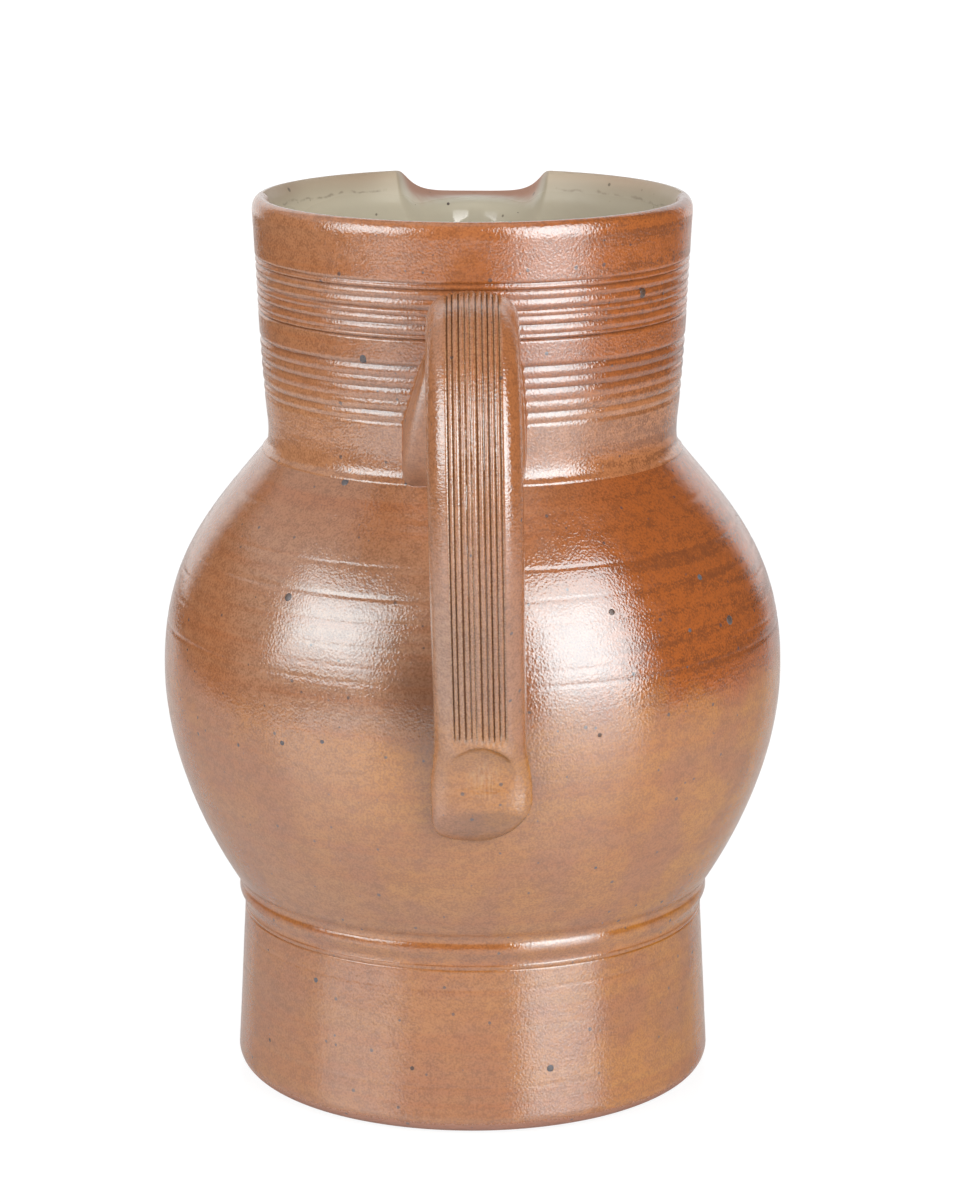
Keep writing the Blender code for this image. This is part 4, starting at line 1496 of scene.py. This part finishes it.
@dataclass
class CollarAndBeak:
    """The thrown collar with its combed bands, and the beak that grows out of it."""

    shop: Workshop
    upper_drops: tuple[float, ...] = (0.0163, 0.0181, 0.0205, 0.0232, 0.0250, 0.0275, 0.0299, 0.0313)
    lower_drops: tuple[float, ...] = (0.0388, 0.0417, 0.0447, 0.0480, 0.0513, 0.0540)
    pitch: float = 0.0025
    groove_depth: float = 0.00080
    unevenness: Pair = (0.5, 0.65)
    comb_seeds: Pair = (11.0, 12.0)
    comb_end: float = 15.0
    comb_fade: float = 12.0
    edge_fade: int = 8
    liner_thickness: float = 0.0005
    liner_edge_rows: int = 8
    liner_lap: float = 0.0045
    liner_fade: float = 0.0060
    liner_bite: float = 0.0003
    liner_lift: float = 0.00004
    front_bite: float = 0.9
    front_edge: float = 0.2
    front_fade: float = 0.6
    rim_gap: float = 0.00002

    def build(self) -> list[Piece]:
        """Make the collar, the beak and the glaze inside the whole pitcher.

        Returns:
            The pieces.
        """
        shape = MouthShape(self.shop.ware)
        points, bearings, stretches = shape.grid()
        last = stretches["inner_low"] - 1
        parts = parted(*points.shape[:2], stretches["window"], last, last, shape.fine_columns)
        finish = COLLAR_WARE.material(self.shop.effects)
        bands = {"upper": self.upper_drops, "lower": self.lower_drops}
        pieces = []
        for name, faces, slot, nodes in (
                ("neck_collar_ware", parts[0], "collar_stoneware", ("neck_collar",)),
                ("pouring_spout_ware", parts[1], "spout_stoneware", ("pouring_spout", "spout_slip"))):
            piece = new_object(name, points, faces)
            self.mark(piece, points, bearings, stretches, bands)
            tidy_mesh(piece)
            for (band, drops), uneven, seed in zip(bands.items(), self.unevenness, self.comb_seeds):
                self.shop.combing.apply(piece, Across=band, Grooves=len(drops), Pitch=self.pitch,
                                        Depth=self.groove_depth, Drift=self.shop.comb_drift, Unevenness=uneven,
                                        Seed=seed, Finish=finish)
            shade(piece)
            pieces.append(self.shop.seat(piece, slot, *nodes))
        return pieces + self.build_liner(shape, points, bearings, stretches)

    def mark(self, piece: Piece, points: Array, bearings: Array, stretches: dict[str, int],
             bands: dict[str, tuple[float, ...]]) -> None:
        """Say how far each point lies across the combed bands, where the comb pressed and where the lip is.

        Args:
            piece: Piece that keeps the numbers.
            points: Points by row and column.
            bearings: Bearings of the columns.
            stretches: First row of each stretch.
            bands: Drops of each band's grooves below the rim.
        """
        height = points[..., 2]
        start = stretches["lip"]
        press, lip = np.zeros(height.shape), np.zeros(height.shape)
        press[:start] = smooth((np.abs(bearings - 180.0) - self.comb_end) / self.comb_fade)
        lip[start - self.edge_fade:start] = np.linspace(0, 1, self.edge_fade)[:, None]
        lip[start:stretches["inner"]] = 1.0
        places = {band: self.comb_place(self.shop.ware.rim - height, drops) for band, drops in bands.items()}
        add_attributes(piece, **places, press=press, lip=lip, groove=np.zeros(height.shape))

    def comb_place(self, drop: Array, drops: tuple[float, ...]) -> Array:
        """How far across a comb points lie, so that its grooves fall at given drops below the rim.

        Args:
            drop: Drops of the points.
            drops: Drops of the grooves.

        Returns:
            Distances across the comb.
        """
        first = drops[0] - (drops[1] - drops[0]) / 2
        last = drops[-1] + (drops[-1] - drops[-2]) / 2
        known = np.array((first - self.pitch, first, *drops, last, last + self.pitch))
        count = len(drops)
        places = np.array((-1.0, 0.0, *(np.arange(count) + 0.5), count, count + 1.0))
        return self.pitch * np.interp(drop, known, places)

    def build_liner(self, shape: MouthShape, points: Array, bearings: Array, stretches: dict[str, int]
                    ) -> list[Piece]:
        """Make the glaze inside: one coat in the pitcher and one in the beak.

        Args:
            shape: Shape of the mouth.
            points: Points of the collar and the beak.
            bearings: Bearings of the columns.
            stretches: First row of each stretch.

        Returns:
            The pieces.
        """
        ware = self.shop.ware
        deep = np.vstack((ware.foot_inside(), ware.belly_inside()))
        bowl = swept(deep[:, :1], bearings, deep[:, 1:])
        edge_row = stretches["inner"] - self.liner_edge_rows
        face = np.concatenate((bowl, points[edge_row:][::-1]))
        rows, columns = face.shape[:2]
        around = np.roll(face, -1, axis=1) - np.roll(face, 1, axis=1)
        inward = np.cross(around, np.gradient(face, axis=0))
        inward /= np.linalg.norm(inward, axis=-1, keepdims=True) + TINY
        middle = np.array((0.0, 0.0, ware.equator)) - face
        inward *= np.sign((inward * middle)[len(deep) // 2].sum())
        inward[0] = (0.0, 0.0, 1.0)
        steps = np.linalg.norm(np.diff(face, axis=0), axis=-1)
        from_edge = np.concatenate((np.cumsum(steps[::-1], axis=0)[::-1], np.zeros((1, columns))))
        swell = self.liner_thickness * smooth((from_edge - self.liner_lap) / self.liner_fade)
        front = smooth((self.front_edge + np.cos(np.radians(bearings))) / self.front_fade)
        sunk = self.liner_bite * self.front_bite * front * (1 - smooth(from_edge / self.liner_lap))
        coat = face + inward * (swell + self.liner_lift - sunk)[..., None]
        coat[..., 2] = np.minimum(coat[..., 2], ware.rim - self.rim_gap)
        both = np.concatenate((coat, (face - inward * self.liner_bite)[::-1]))
        first = rows - (stretches["inner_low"] - edge_row)
        last = 2 * rows - 1 - first
        parts = parted(2 * rows, columns, first, last, last + 1, shape.fine_columns)
        finish = LinerGlaze("liner_pale_glaze").material(self.shop.effects)
        depth = np.concatenate((from_edge, from_edge[::-1]))
        pieces = []
        for name, faces, slot in zip(("liner_glaze_coat", "spout_glaze_coat"), parts, ("liner_glaze", "spout_glaze")):
            pieces.append(self.shop.coat(name, both, faces, finish, slot, from_edge=depth))
        return pieces


# The handle


@dataclass
class StrapHandle:
    """The pulled strap with its combed face, thumb mark and smoothed joints."""

    shop: Workshop
    strap_width: float = 0.0243
    strap_thickness: float = 0.0120
    strap_crown: float = 0.80
    squareness: float = 2.6
    root_width: float = 0.0330
    root_thickness: float = 0.0300
    root_crown: float = 0.50
    root_squareness: float = 9.0
    root_shift: float = -0.0022
    root_rise: float = 0.0125
    root_angle: float = 32.0
    flare_length: float = 0.0300
    crown_drop: float = 0.0153
    crown_standoff: float = 0.0180
    outermost: float = -STRAP_BOX[0].y - 0.0001
    outermost_rise: float = 0.0030
    landing_rise: float = 0.0030
    landing_angle: float = -102.0
    tail_angle: float = -114.0
    tail_standoff: float = 0.0018
    fullness: float = 0.39
    drift: float = 0.0026
    terminal_length: float = 0.0300
    terminal_width: float = 0.0268
    terminal_thickness: float = 0.0088
    terminal_crown: float = 0.62
    tongue_round: float = 0.0125
    tongue_sweep: float = 87.0
    tongue_edge: float = 0.15
    tongue_facet: float = 0.0116
    facet_bow: float = 0.30
    facet_middle: float = 0.1
    # painted shade on the facet at the tongue's end, stored with the grooves' depth
    facet_shade: float = 0.00025
    facet_lap: float = 0.0005
    facet_fade: float = 0.0020
    facet_side: float = 0.7
    left_corner: float = 4.5
    right_corner: float = 1.7
    grooves: int = 10
    pitch: float = 0.0015
    groove_depth: float = 0.00085
    unevenness: float = 0.40
    comb_seed: float = 21.0
    comb_start: float = 0.006
    comb_lead: float = 0.012
    comb_stop: float = 0.0310
    runout: float = 0.0040
    thumb_width: float = 0.0172
    thumb_length: float = 0.0200
    thumb_depth: float = 0.0042
    thumb_from_end: float = 0.0214
    thumb_power: float = 1.3
    thumb_round: float = 0.8
    thumb_slope: float = 1.6
    thumb_tilt: float = 0.30
    # painted shade on the thumb mark's upper and right walls, stored with the grooves' depth
    hollow_shade: float = 0.00038
    # rub sets the strength of the painted sheen on the thumb mark's floor
    rub: float = 0.7
    rub_middle: Pair = (0.2, 0.1)
    rub_size: Pair = (0.5, 0.4)
    dry_length: Pair = (0.010, 0.020)
    dry_side: Pair = (0.006, 0.003)
    lead_in: float = 0.0120
    trim: float = 0.0010
    skew_length: float = 0.0420
    course_steps: int = 120
    probe_steps: int = 240
    strap_rings: int = 270
    tongue_rings: int = 26
    margin_points: int = 12
    groove_points: int = 8
    back_points: int = 40
    root_points: int = 180
    root_passes: int = 4
    root_fillet: float = 0.0008
    terminal_points: int = 220
    terminal_passes: int = 6
    terminal_fillet: float = 0.0009
    fillet_sunk: float = 0.00022
    fillet_hollow: float = 0.62
    fillet_core: float = 0.0010
    fillet_steps: int = 9
    facing_passes: int = 12
    edge_passes: int = 6
    top_passes: int = 3

    def course(self) -> tuple[Array, Array, Array]:
        """Middle line of the strap.

        Returns:
            Lengths along it from where it leaves the collar's inside, its points as reach and height,
            and its directions.
        """
        ware = self.shop.ware
        root = ware.collar_base + self.root_rise
        rise = self.strap_thickness * self.strap_crown
        crown = ware.rim - self.crown_drop - rise
        landing = ware.equator + self.landing_rise
        tail = landing - self.terminal_length
        stations = (
            ((ware.outside_radius(root) - ware.collar_wall, root), self.root_angle),
            ((ware.outside_radius(crown) + self.crown_standoff, crown), 0.0),
            ((self.outermost - rise, ware.belly_top + self.outermost_rise), -90.0),
            ((ware.outside_radius(landing) + self.strap_thickness - rise, landing), self.landing_angle),
            ((ware.outside_radius(tail) + self.tail_standoff, tail), self.tail_angle),
        )
        points = [np.array([stations[0][0]]) - polar(self.lead_in, self.root_angle), np.array([stations[0][0]])]
        for (start, leaving), (end, arriving) in zip(stations, stations[1:]):
            start, end = np.array(start), np.array(end)
            reach = float(np.linalg.norm(end - start)) * self.fullness
            points.append(bezier(start, start + polar(reach, leaving), end - polar(reach, arriving), end,
                                 self.course_steps)[1:])
        middle = np.vstack(points)
        lengths = lengths_along(middle)
        return lengths - self.lead_in, middle, unit(np.gradient(middle, lengths, axis=0))

    def across(self, width: Array) -> Array:
        """Places of the section's points from its left edge over the face and back, for each width."""
        comb = self.grooves * self.pitch / 2
        shares = (np.arange(self.margin_points) / self.margin_points) ** 2
        margin = blend(width[..., None] / 2, comb, shares)
        face = np.linspace(-comb, comb, self.grooves * self.groove_points + 1)
        face = np.broadcast_to(face, (*width.shape, len(face)))
        back = np.cos(np.pi * np.arange(1, self.back_points) / self.back_points)
        return np.concatenate((-margin, face, margin[..., ::-1], back * width[..., None] / 2), axis=-1)

    def columns(self) -> tuple[int, int]:
        """Number of points on the face and in the whole section."""
        face = 2 * self.margin_points + self.grooves * self.groove_points + 1
        return face, face + self.back_points - 1

    def facet(self, aside: Array) -> Array:
        """Length of the facet at the tongue's end, by how far aside it lies in halves of the width."""
        return self.tongue_facet * (1 - self.facet_bow * np.clip(aside - self.facet_middle, -1, 1) ** 2)

    def thumb_place(self, from_end: Array, across: Array) -> tuple[Array, Array]:
        """How far points lie below and beside the middle of the thumb mark, in halves of its size."""
        return (self.thumb_from_end - from_end) / (self.thumb_length / 2), across / (self.thumb_width / 2)

    def surface(self, distance: Array) -> tuple[Array, Array]:
        """Points of the strap at a distance along it for each row and column.

        Args:
            distance: One distance for each row and column.

        Returns:
            The points, and how far across the strap they lie.
        """
        lengths, course, along = self.course()
        from_end = lengths[-1] - distance
        reach, height, outward, upward = (np.interp(distance, lengths, values) for values in (*course.T, *along.T))
        norm = np.hypot(outward, upward)
        flare = 1 - smooth(distance / self.flare_length)
        press = smooth(2 - from_end / (self.terminal_length / 2))
        width, thick, outside = (blend(blend(strap, terminal, press), root, flare) for strap, terminal, root in (
            (self.strap_width, self.terminal_width, self.root_width),
            (self.strap_thickness, self.terminal_thickness, self.root_thickness),
            (self.strap_crown, self.terminal_crown, self.root_crown)))
        across = np.diagonal(self.across(width), axis1=-2, axis2=-1)
        on_face = np.arange(distance.shape[1]) < self.columns()[0]
        aside = 2 * across / width
        power = blend(self.squareness, self.root_squareness, flare)
        up = (1 - np.clip(np.abs(aside), 0, 1) ** power) ** (1 / power)
        up = up * thick * np.where(on_face, outside, outside - 1)
        past = np.clip(1 - from_end / self.tongue_round, 0, 1)
        corner = np.where(across < 0, self.left_corner, self.right_corner)
        rounding = (1 - past ** corner) ** (1 / corner)
        up = up * blend(self.tongue_edge, 1.0, np.clip(from_end / self.facet(aside), 0, 1))
        below, beside = self.thumb_place(from_end, across)
        hollow = np.clip(1 - (below ** 2 + beside ** 2) ** self.thumb_power, 0, None) ** self.thumb_round
        slope = np.clip(1 - (below + 1) / self.thumb_slope, 0, 1) * (1 + self.thumb_tilt * beside)
        up = up - np.where(on_face, self.thumb_depth * hollow * slope, 0.0)
        top = course[:, 1].max()
        side = blend(self.drift * (top - height) / (top - course[-1, 1]), self.root_shift, flare)
        points = (side + across * rounding, -reach + up * upward / norm, height + up * outward / norm)
        return np.stack(points, axis=-1), across

    def root_starts(self, sunk: float) -> Array:
        """Where each line along the strap comes out of the body.

        Args:
            sunk: How far under the body's surface the lines start.

        Returns:
            One distance along the strap for each line.
        """
        _, count = self.columns()
        probe = np.linspace(-self.lead_in, self.skew_length, self.probe_steps)
        points, _ = self.surface(np.repeat(probe[:, None], count, axis=1))
        starts = np.zeros(count)
        for column, above in enumerate((self.shop.ware.above_surface(points) + sunk).T):
            under = np.nonzero(above < 0)[0]
            last = under[-1] if len(under) else 0
            low, high = above[last], above[last + 1]
            starts[column] = blend(probe[last], probe[last + 1], np.clip(-low / (high - low), 0, 1))
        return starts

    def distances(self) -> Array:
        """Distance along the strap for each row and column, skewed so that the root ends under the surface.

        Returns:
            One row for each ring.
        """
        straight = self.course()[0][-1] - self.tongue_round
        starts = self.root_starts(self.trim)
        first = float(starts.mean())
        body = np.linspace(first, straight, self.strap_rings, endpoint=False)
        sweep = np.radians(np.linspace(0, self.tongue_sweep, self.tongue_rings))
        rows = np.concatenate((body, straight + self.tongue_round * np.sin(sweep)))
        fade = np.clip(1 - (rows - first) / self.skew_length, 0, 1) ** 2
        return rows[:, None] + fade[:, None] * (starts - first)[None, :]

    def build(self) -> list[Piece]:
        """Make the strap and the smoothed slip at both of its ends.

        Returns:
            The pieces.
        """
        distance = self.distances()
        points, across = self.surface(distance)
        rows, columns = points.shape[:2]
        ends = [list(range(columns)), list(range((rows - 1) * columns, rows * columns))]
        piece = new_object("strap_handle_ware", points, quads(rows, columns, False).tolist() + ends)
        self.mark(piece, distance, across)
        tidy_mesh(piece)
        tree = BVHTree.FromPolygons([tuple(point.co) for point in piece.data.vertices],
                                    [tuple(polygon.vertices) for polygon in piece.data.polygons])
        finish = Stoneware("handle_salt_glaze", flushed=(0.392, 0.132, 0.040), chatter=2.2, streak=0.08, glint_share=0.50,
                           groove_depth=0.0005, groove_shade=0.85, seed=8.0).material(self.shop.effects)
        self.shop.combing.apply(piece, Across="across", Grooves=self.grooves, Pitch=self.pitch,
                                Depth=self.groove_depth, Drift=self.shop.comb_drift, Unevenness=self.unevenness,
                                Seed=self.comb_seed, Finish=finish)
        shade(piece)
        self.shop.seat(piece, "handle_stoneware", "strap_handle")
        slip = Stoneware("handle_slip", seed=9.0).material(self.shop.effects)
        terminal = self.terminal_loop(points, distance)
        return [piece,
                self.fillet("root_joint_slip", self.root_loop(), tree, self.root_fillet, slip, "root_slip"),
                self.fillet("terminal_joint_slip", terminal, tree, self.terminal_fillet, slip, "terminal_slip")]

    def mark(self, piece: Piece, distance: Array, across: Array) -> None:
        """Say where the comb pressed, where shade is painted on the tongue's facet and in the thumb mark, where a sheen
        is painted on the thumb mark's floor, and where the strap is dry.

        Args:
            piece: Piece that keeps the numbers.
            distance: Distance along the strap for each row and column.
            across: How far across the strap each point lies.
        """
        from_end = self.course()[0][-1] - distance
        press = smooth((from_end - self.comb_stop) / self.runout)
        press = press * smooth((distance - self.comb_start) / self.comb_lead)
        press = press * (np.arange(distance.shape[1]) < self.columns()[0])
        aside = 2 * across / self.terminal_width
        facet = smooth((self.facet(aside) + self.facet_lap - from_end) / self.facet_fade)
        # painted shade: a darker facet at the tongue's end and darker upper and right walls in the thumb mark
        groove = self.facet_shade * facet * smooth((aside + 1) / self.facet_side)
        below, beside = self.thumb_place(from_end, across)
        spread = below ** 2 + beside ** 2
        groove += self.hollow_shade * (spread < 1) * spread * np.clip((beside - below) / 2, 0, 1)
        # painted sheen on the floor of the thumb mark
        (low, right), (tall, wide) = self.rub_middle, self.rub_size
        rubbed = self.rub * np.clip(1 - (below - low) ** 2 / tall - (beside - right) ** 2 / wide, 0, 1)
        dry_along = 1 - smooth((distance - self.dry_length[0]) / self.dry_length[1])
        dry = dry_along * smooth((-across - self.dry_side[0]) / self.dry_side[1])
        add_attributes(piece, across=across + self.grooves * self.pitch / 2, press=press, groove=groove,
                       rubbed=rubbed, dry=dry)

    def root_loop(self) -> Array:
        """Where the strap's surface comes out of the collar, as a closed loop."""
        points, _ = self.surface(self.root_starts(0.0)[None, :])
        return softened_loop(resampled_loop(points[0], self.root_points), self.root_passes)

    def terminal_loop(self, points: Array, distance: Array) -> Array:
        """Where the strap's lower end meets the belly.

        Args:
            points: Points of the strap by row and column.
            distance: Their distances along it.

        Returns:
            A closed loop of points.
        """
        above = self.shop.ware.above_surface(points)
        face, columns = self.columns()
        below_middle = distance.mean(axis=1) > self.course()[0][-1] / 2
        left, right = [], []
        right_walk = list(range(face - 1, columns))
        left_walk = [0] + list(range(columns - 1, face - 1, -1))
        for row in np.nonzero(below_middle & (above[:, face:] < 0).any(axis=1))[0]:
            for walk, found in ((right_walk, right), (left_walk, left)):
                values = above[row, walk]
                step = int(np.argmax(values < 0))
                low, high = values[step - 1], values[step]
                found.append(blend(points[row, walk[step - 1]], points[row, walk[step]], low / (low - high)))
        loop = resampled_loop(np.array(left + right[::-1]), self.terminal_points)
        return softened_loop(loop, self.terminal_passes)

    def fillet(self, name: str, loop: Array, tree: BVHTree, size: float, finish: Material,
               node: str) -> Piece:
        """A hollow fillet of slip along a loop between the strap and the body.

        Args:
            name: Name of the piece.
            loop: Where the two surfaces meet.
            tree: The strap's surface.
            size: How far the fillet runs up the strap and out on the body.
            finish: Its material.
            node: Solid of the frame that it stands for.

        Returns:
            The piece.
        """
        ware = self.shop.ware
        strap_out = np.array([tree.find_nearest(Vector(point))[1] for point in loop])
        strap_out = unit(softened_loop(strap_out, self.facing_passes))
        body_out = ware.outside_normal(loop)
        lean = (strap_out * body_out).sum(1, keepdims=True)
        up_strap, out_body = unit(body_out - lean * strap_out), unit(strap_out - lean * body_out)
        high = []
        for point in softened_loop(loop + size * up_strap, self.edge_passes):
            spot, facing, _, _ = tree.find_nearest(Vector(point))
            high.append(np.array(spot) - self.fillet_sunk * np.array(facing))
        high = softened_loop(np.array(high), self.top_passes)
        low = ware.seated(softened_loop(loop + size * out_body, self.edge_passes), self.fillet_sunk)
        sections = bezier(high, blend(high, loop, self.fillet_hollow), blend(low, loop, self.fillet_hollow), low,
                          self.fillet_steps)
        core = loop - self.fillet_core * (strap_out + body_out)
        ring = np.concatenate((np.moveaxis(sections, 0, 1), core[:, None, :]), axis=1)
        faces = quads(*ring.shape[:2]).tolist()
        return self.shop.coat(name, ring, faces, finish, node, groove=np.zeros(ring.shape[:2]))


# Specks of iron


@dataclass
class IronSpecks:
    """Iron that has melted through the glaze, in a few large specks and many small ones.

    Each large speck has a bearing in degrees, a height and a width.
    """

    shop: Workshop
    large: tuple[Triple, ...] = (
        (-29.4, 0.2129, 0.0022), (-35.2, 0.1788, 0.0020), (-37.8, 0.1506, 0.0021),
        (49.6, 0.2283, 0.0022), (55.9, 0.1404, 0.0023), (27.0, 0.1486, 0.0016),
        (51.0, 0.1529, 0.0015), (18.5, 0.0181, 0.0019), (-41.2, 0.0388, 0.0015),
        (-35.7, 0.1124, 0.0014), (40.3, 0.2134, 0.0012), (-46.7, 0.1088, 0.0012),
        (-27.2, 0.1146, 0.0012), (-14.4, 0.0186, 0.0013), (22.6, 0.1172, 0.0012),
        (43.8, 0.1409, 0.0012), (24.9, 0.0778, 0.0012), (-58.5, 0.0161, 0.0012),
    )
    large_spread: float = 1.25
    small_count: int = 800
    small_widths: Pair = (0.0003, 0.0010)
    small_power: float = 3
    base_gap: float = 0.006
    lip_gap: float = 0.004
    joint_gap: float = 0.009
    sunk: float = 0.00016
    slope_step: float = 0.0004
    flatness: float = 0.16
    roundness: int = 2
    seed: int = 17

    def build(self) -> Piece:
        """Make the specks.

        Returns:
            The piece.
        """
        ware = self.shop.ware
        chance = np.random.default_rng(self.seed)
        bearings = chance.uniform(-180, 180, self.small_count)
        heights = chance.uniform(self.base_gap, ware.lip_base - self.lip_gap, self.small_count)
        widths = blend(*self.small_widths, chance.random(self.small_count) ** self.small_power)
        small = np.column_stack((bearings, heights, widths))
        large = np.array(self.large) * (1.0, 1.0, self.large_spread)
        bearings, heights, widths = np.vstack((small, large)).T
        outline = np.vstack(([(ware.foot_radius, ware.base_round), (ware.foot_top_radius, ware.foot_top)],
                             ware.outside()))
        places = swept(radius_at(outline, heights), bearings, heights)
        facing = facing_out(outline, places, self.slope_step)
        clear = np.abs(heights - ware.belly_base) > self.joint_gap
        piece = new_object("iron_specks", (places - facing * self.sunk)[clear], [])
        add_attributes(piece, width=widths[clear])
        layer = piece.data.attributes.new("facing", "FLOAT_VECTOR", "POINT")
        layer.data.foreach_set("vector", facing[clear].astype(np.float32).ravel())
        finish = FiredIron("fired_iron").material(self.shop.effects)
        self.shop.scattering.apply(piece, Flatness=self.flatness, Roundness=self.roundness, Finish=finish)
        return self.shop.seat(piece, "belly_stoneware")


# The studio


@dataclass(frozen=True)
class Softbox:
    """A lit panel that faces the pitcher: its bearing and rise in degrees, its size and its brightness.

    A panel that is not mirrored gives light but isn't seen in the glaze.
    """

    name: str
    bearing: float
    rise: float
    width: float
    height: float
    brightness: float
    distance: float = 1.25
    mirrored: bool = True


@dataclass
class Studio:
    """White paper under and behind the pitcher, soft panels, and the camera."""

    aim: Triple = (0.0, 0.0, 0.14)
    panels: tuple[Softbox, ...] = (
        Softbox("right_panel", 42.5, 22.0, 0.93, 1.33, 4.3),
        Softbox("left_panel", -55.5, 22.0, 0.98, 0.90, 2.4),
        Softbox("left_wash", -54.0, 22.0, 1.11, 1.33, 1.8, 1.28, False),
        Softbox("right_core", 40.0, 19.0, 0.50, 0.72, 2.0, 1.22),
        Softbox("left_core", -55.5, 22.5, 0.58, 0.50, 1.9, 1.22),
        Softbox("left_fill", -105.0, 42.0, 1.10, 0.80, 0.4, 1.30),
        Softbox("top_panel", 0.0, 90.0, 1.30, 1.30, 0.4, 1.60),
        Softbox("top_fill", 0.0, 90.0, 1.60, 1.60, 0.4, 1.70, False),
    )
    dim: float = 0.05
    camera_place: Triple = (0.0, -1.0549, 0.3830)
    camera_pitch: float = 13.258
    camera_yaw: float = -0.137
    focal_pixels: float = 3831.0
    image_height: float = 1203.0
    sensor: float = 36.0
    table: tuple[Pair, ...] = ((-0.95, -0.95), (0.86, -0.95), (0.86, 1.7), (-0.60, 1.7), (-0.60, -0.25))
    table_gap: float = 0.0002
    backdrop_distance: float = 1.7
    backdrop_half_width: float = 1.40
    backdrop_height: float = 2.2

    def build(self) -> None:
        """Make the floor, the backdrop, the lights, the world and the camera."""
        wide, far, tall = self.backdrop_half_width, self.backdrop_distance, self.backdrop_height
        table = np.array([(*corner, -self.table_gap) for corner in self.table])
        wall = np.array(((-wide, far, 0), (wide, far, 0), (wide, far, tall), (-wide, far, tall)))
        floor, backdrop = (new_object(name, corners, [range(len(corners))])
                           for name, corners in (("studio_floor", table), ("studio_backdrop", wall)))
        floor.data.materials.append(StudioPaper("studio_paper").material())
        backdrop.data.materials.append(StudioPaper("backdrop_paper", glow=1.0, mirrored=1.0, roughness=0.9).material())
        for panel in self.panels:
            self.light(panel)
        self.surround()
        self.camera()

    def light(self, panel: Softbox) -> None:
        """Place a lit panel."""
        angle, rise = math.radians(panel.bearing), math.radians(panel.rise)
        away = Vector((math.sin(angle) * math.cos(rise), -math.cos(angle) * math.cos(rise), math.sin(rise)))
        lamp = bpy.data.lights.new(panel.name, "AREA")
        lamp.shape = "RECTANGLE"
        lamp.size, lamp.size_y = panel.width, panel.height
        lamp.energy = panel.brightness * math.pi * panel.width * panel.height
        made = linked(panel.name, lamp)
        made.location = Vector(self.aim) + away * panel.distance
        made.rotation_euler = away.to_track_quat("Z", "Y").to_euler()
        made.visible_glossy = panel.mirrored

    def surround(self) -> None:
        """A dim room that the camera sees as white."""
        world = bpy.data.worlds.new("studio_room")
        world.use_nodes = True
        wiring = Wiring(world.node_tree)
        seen = wiring.out("ShaderNodeLightPath", None, "Is Camera Ray")
        wiring.feed_all(world.node_tree.nodes["Background"], Color=(1.0, 1.0, 1.0),
                        Strength=wiring.math("MAXIMUM", seen, self.dim))
        bpy.context.scene.world = world

    def camera(self) -> None:
        """Set the camera where the photograph was taken from."""
        lens = bpy.data.cameras.new("photo_camera")
        lens.sensor_width = self.sensor
        lens.lens = self.focal_pixels / self.image_height * self.sensor
        made = linked("photo_camera", lens)
        made.location = self.camera_place
        made.rotation_euler = (math.radians(90.0 - self.camera_pitch), 0.0, math.radians(self.camera_yaw))
        bpy.context.scene.camera = made
        bpy.context.scene.view_settings.view_transform = "Standard"


def main() -> None:
    """Build every piece in order, then the studio."""
    logging.basicConfig(level=logging.INFO, format="%(name)s: %(message)s")
    shop = Workshop()
    for assembly in (FootDrum, BellyGlobe, JointRings, CollarAndBeak, StrapHandle, IronSpecks):
        assembly(shop).build()
    Studio().build()


if __name__ == "__main__":
    main()
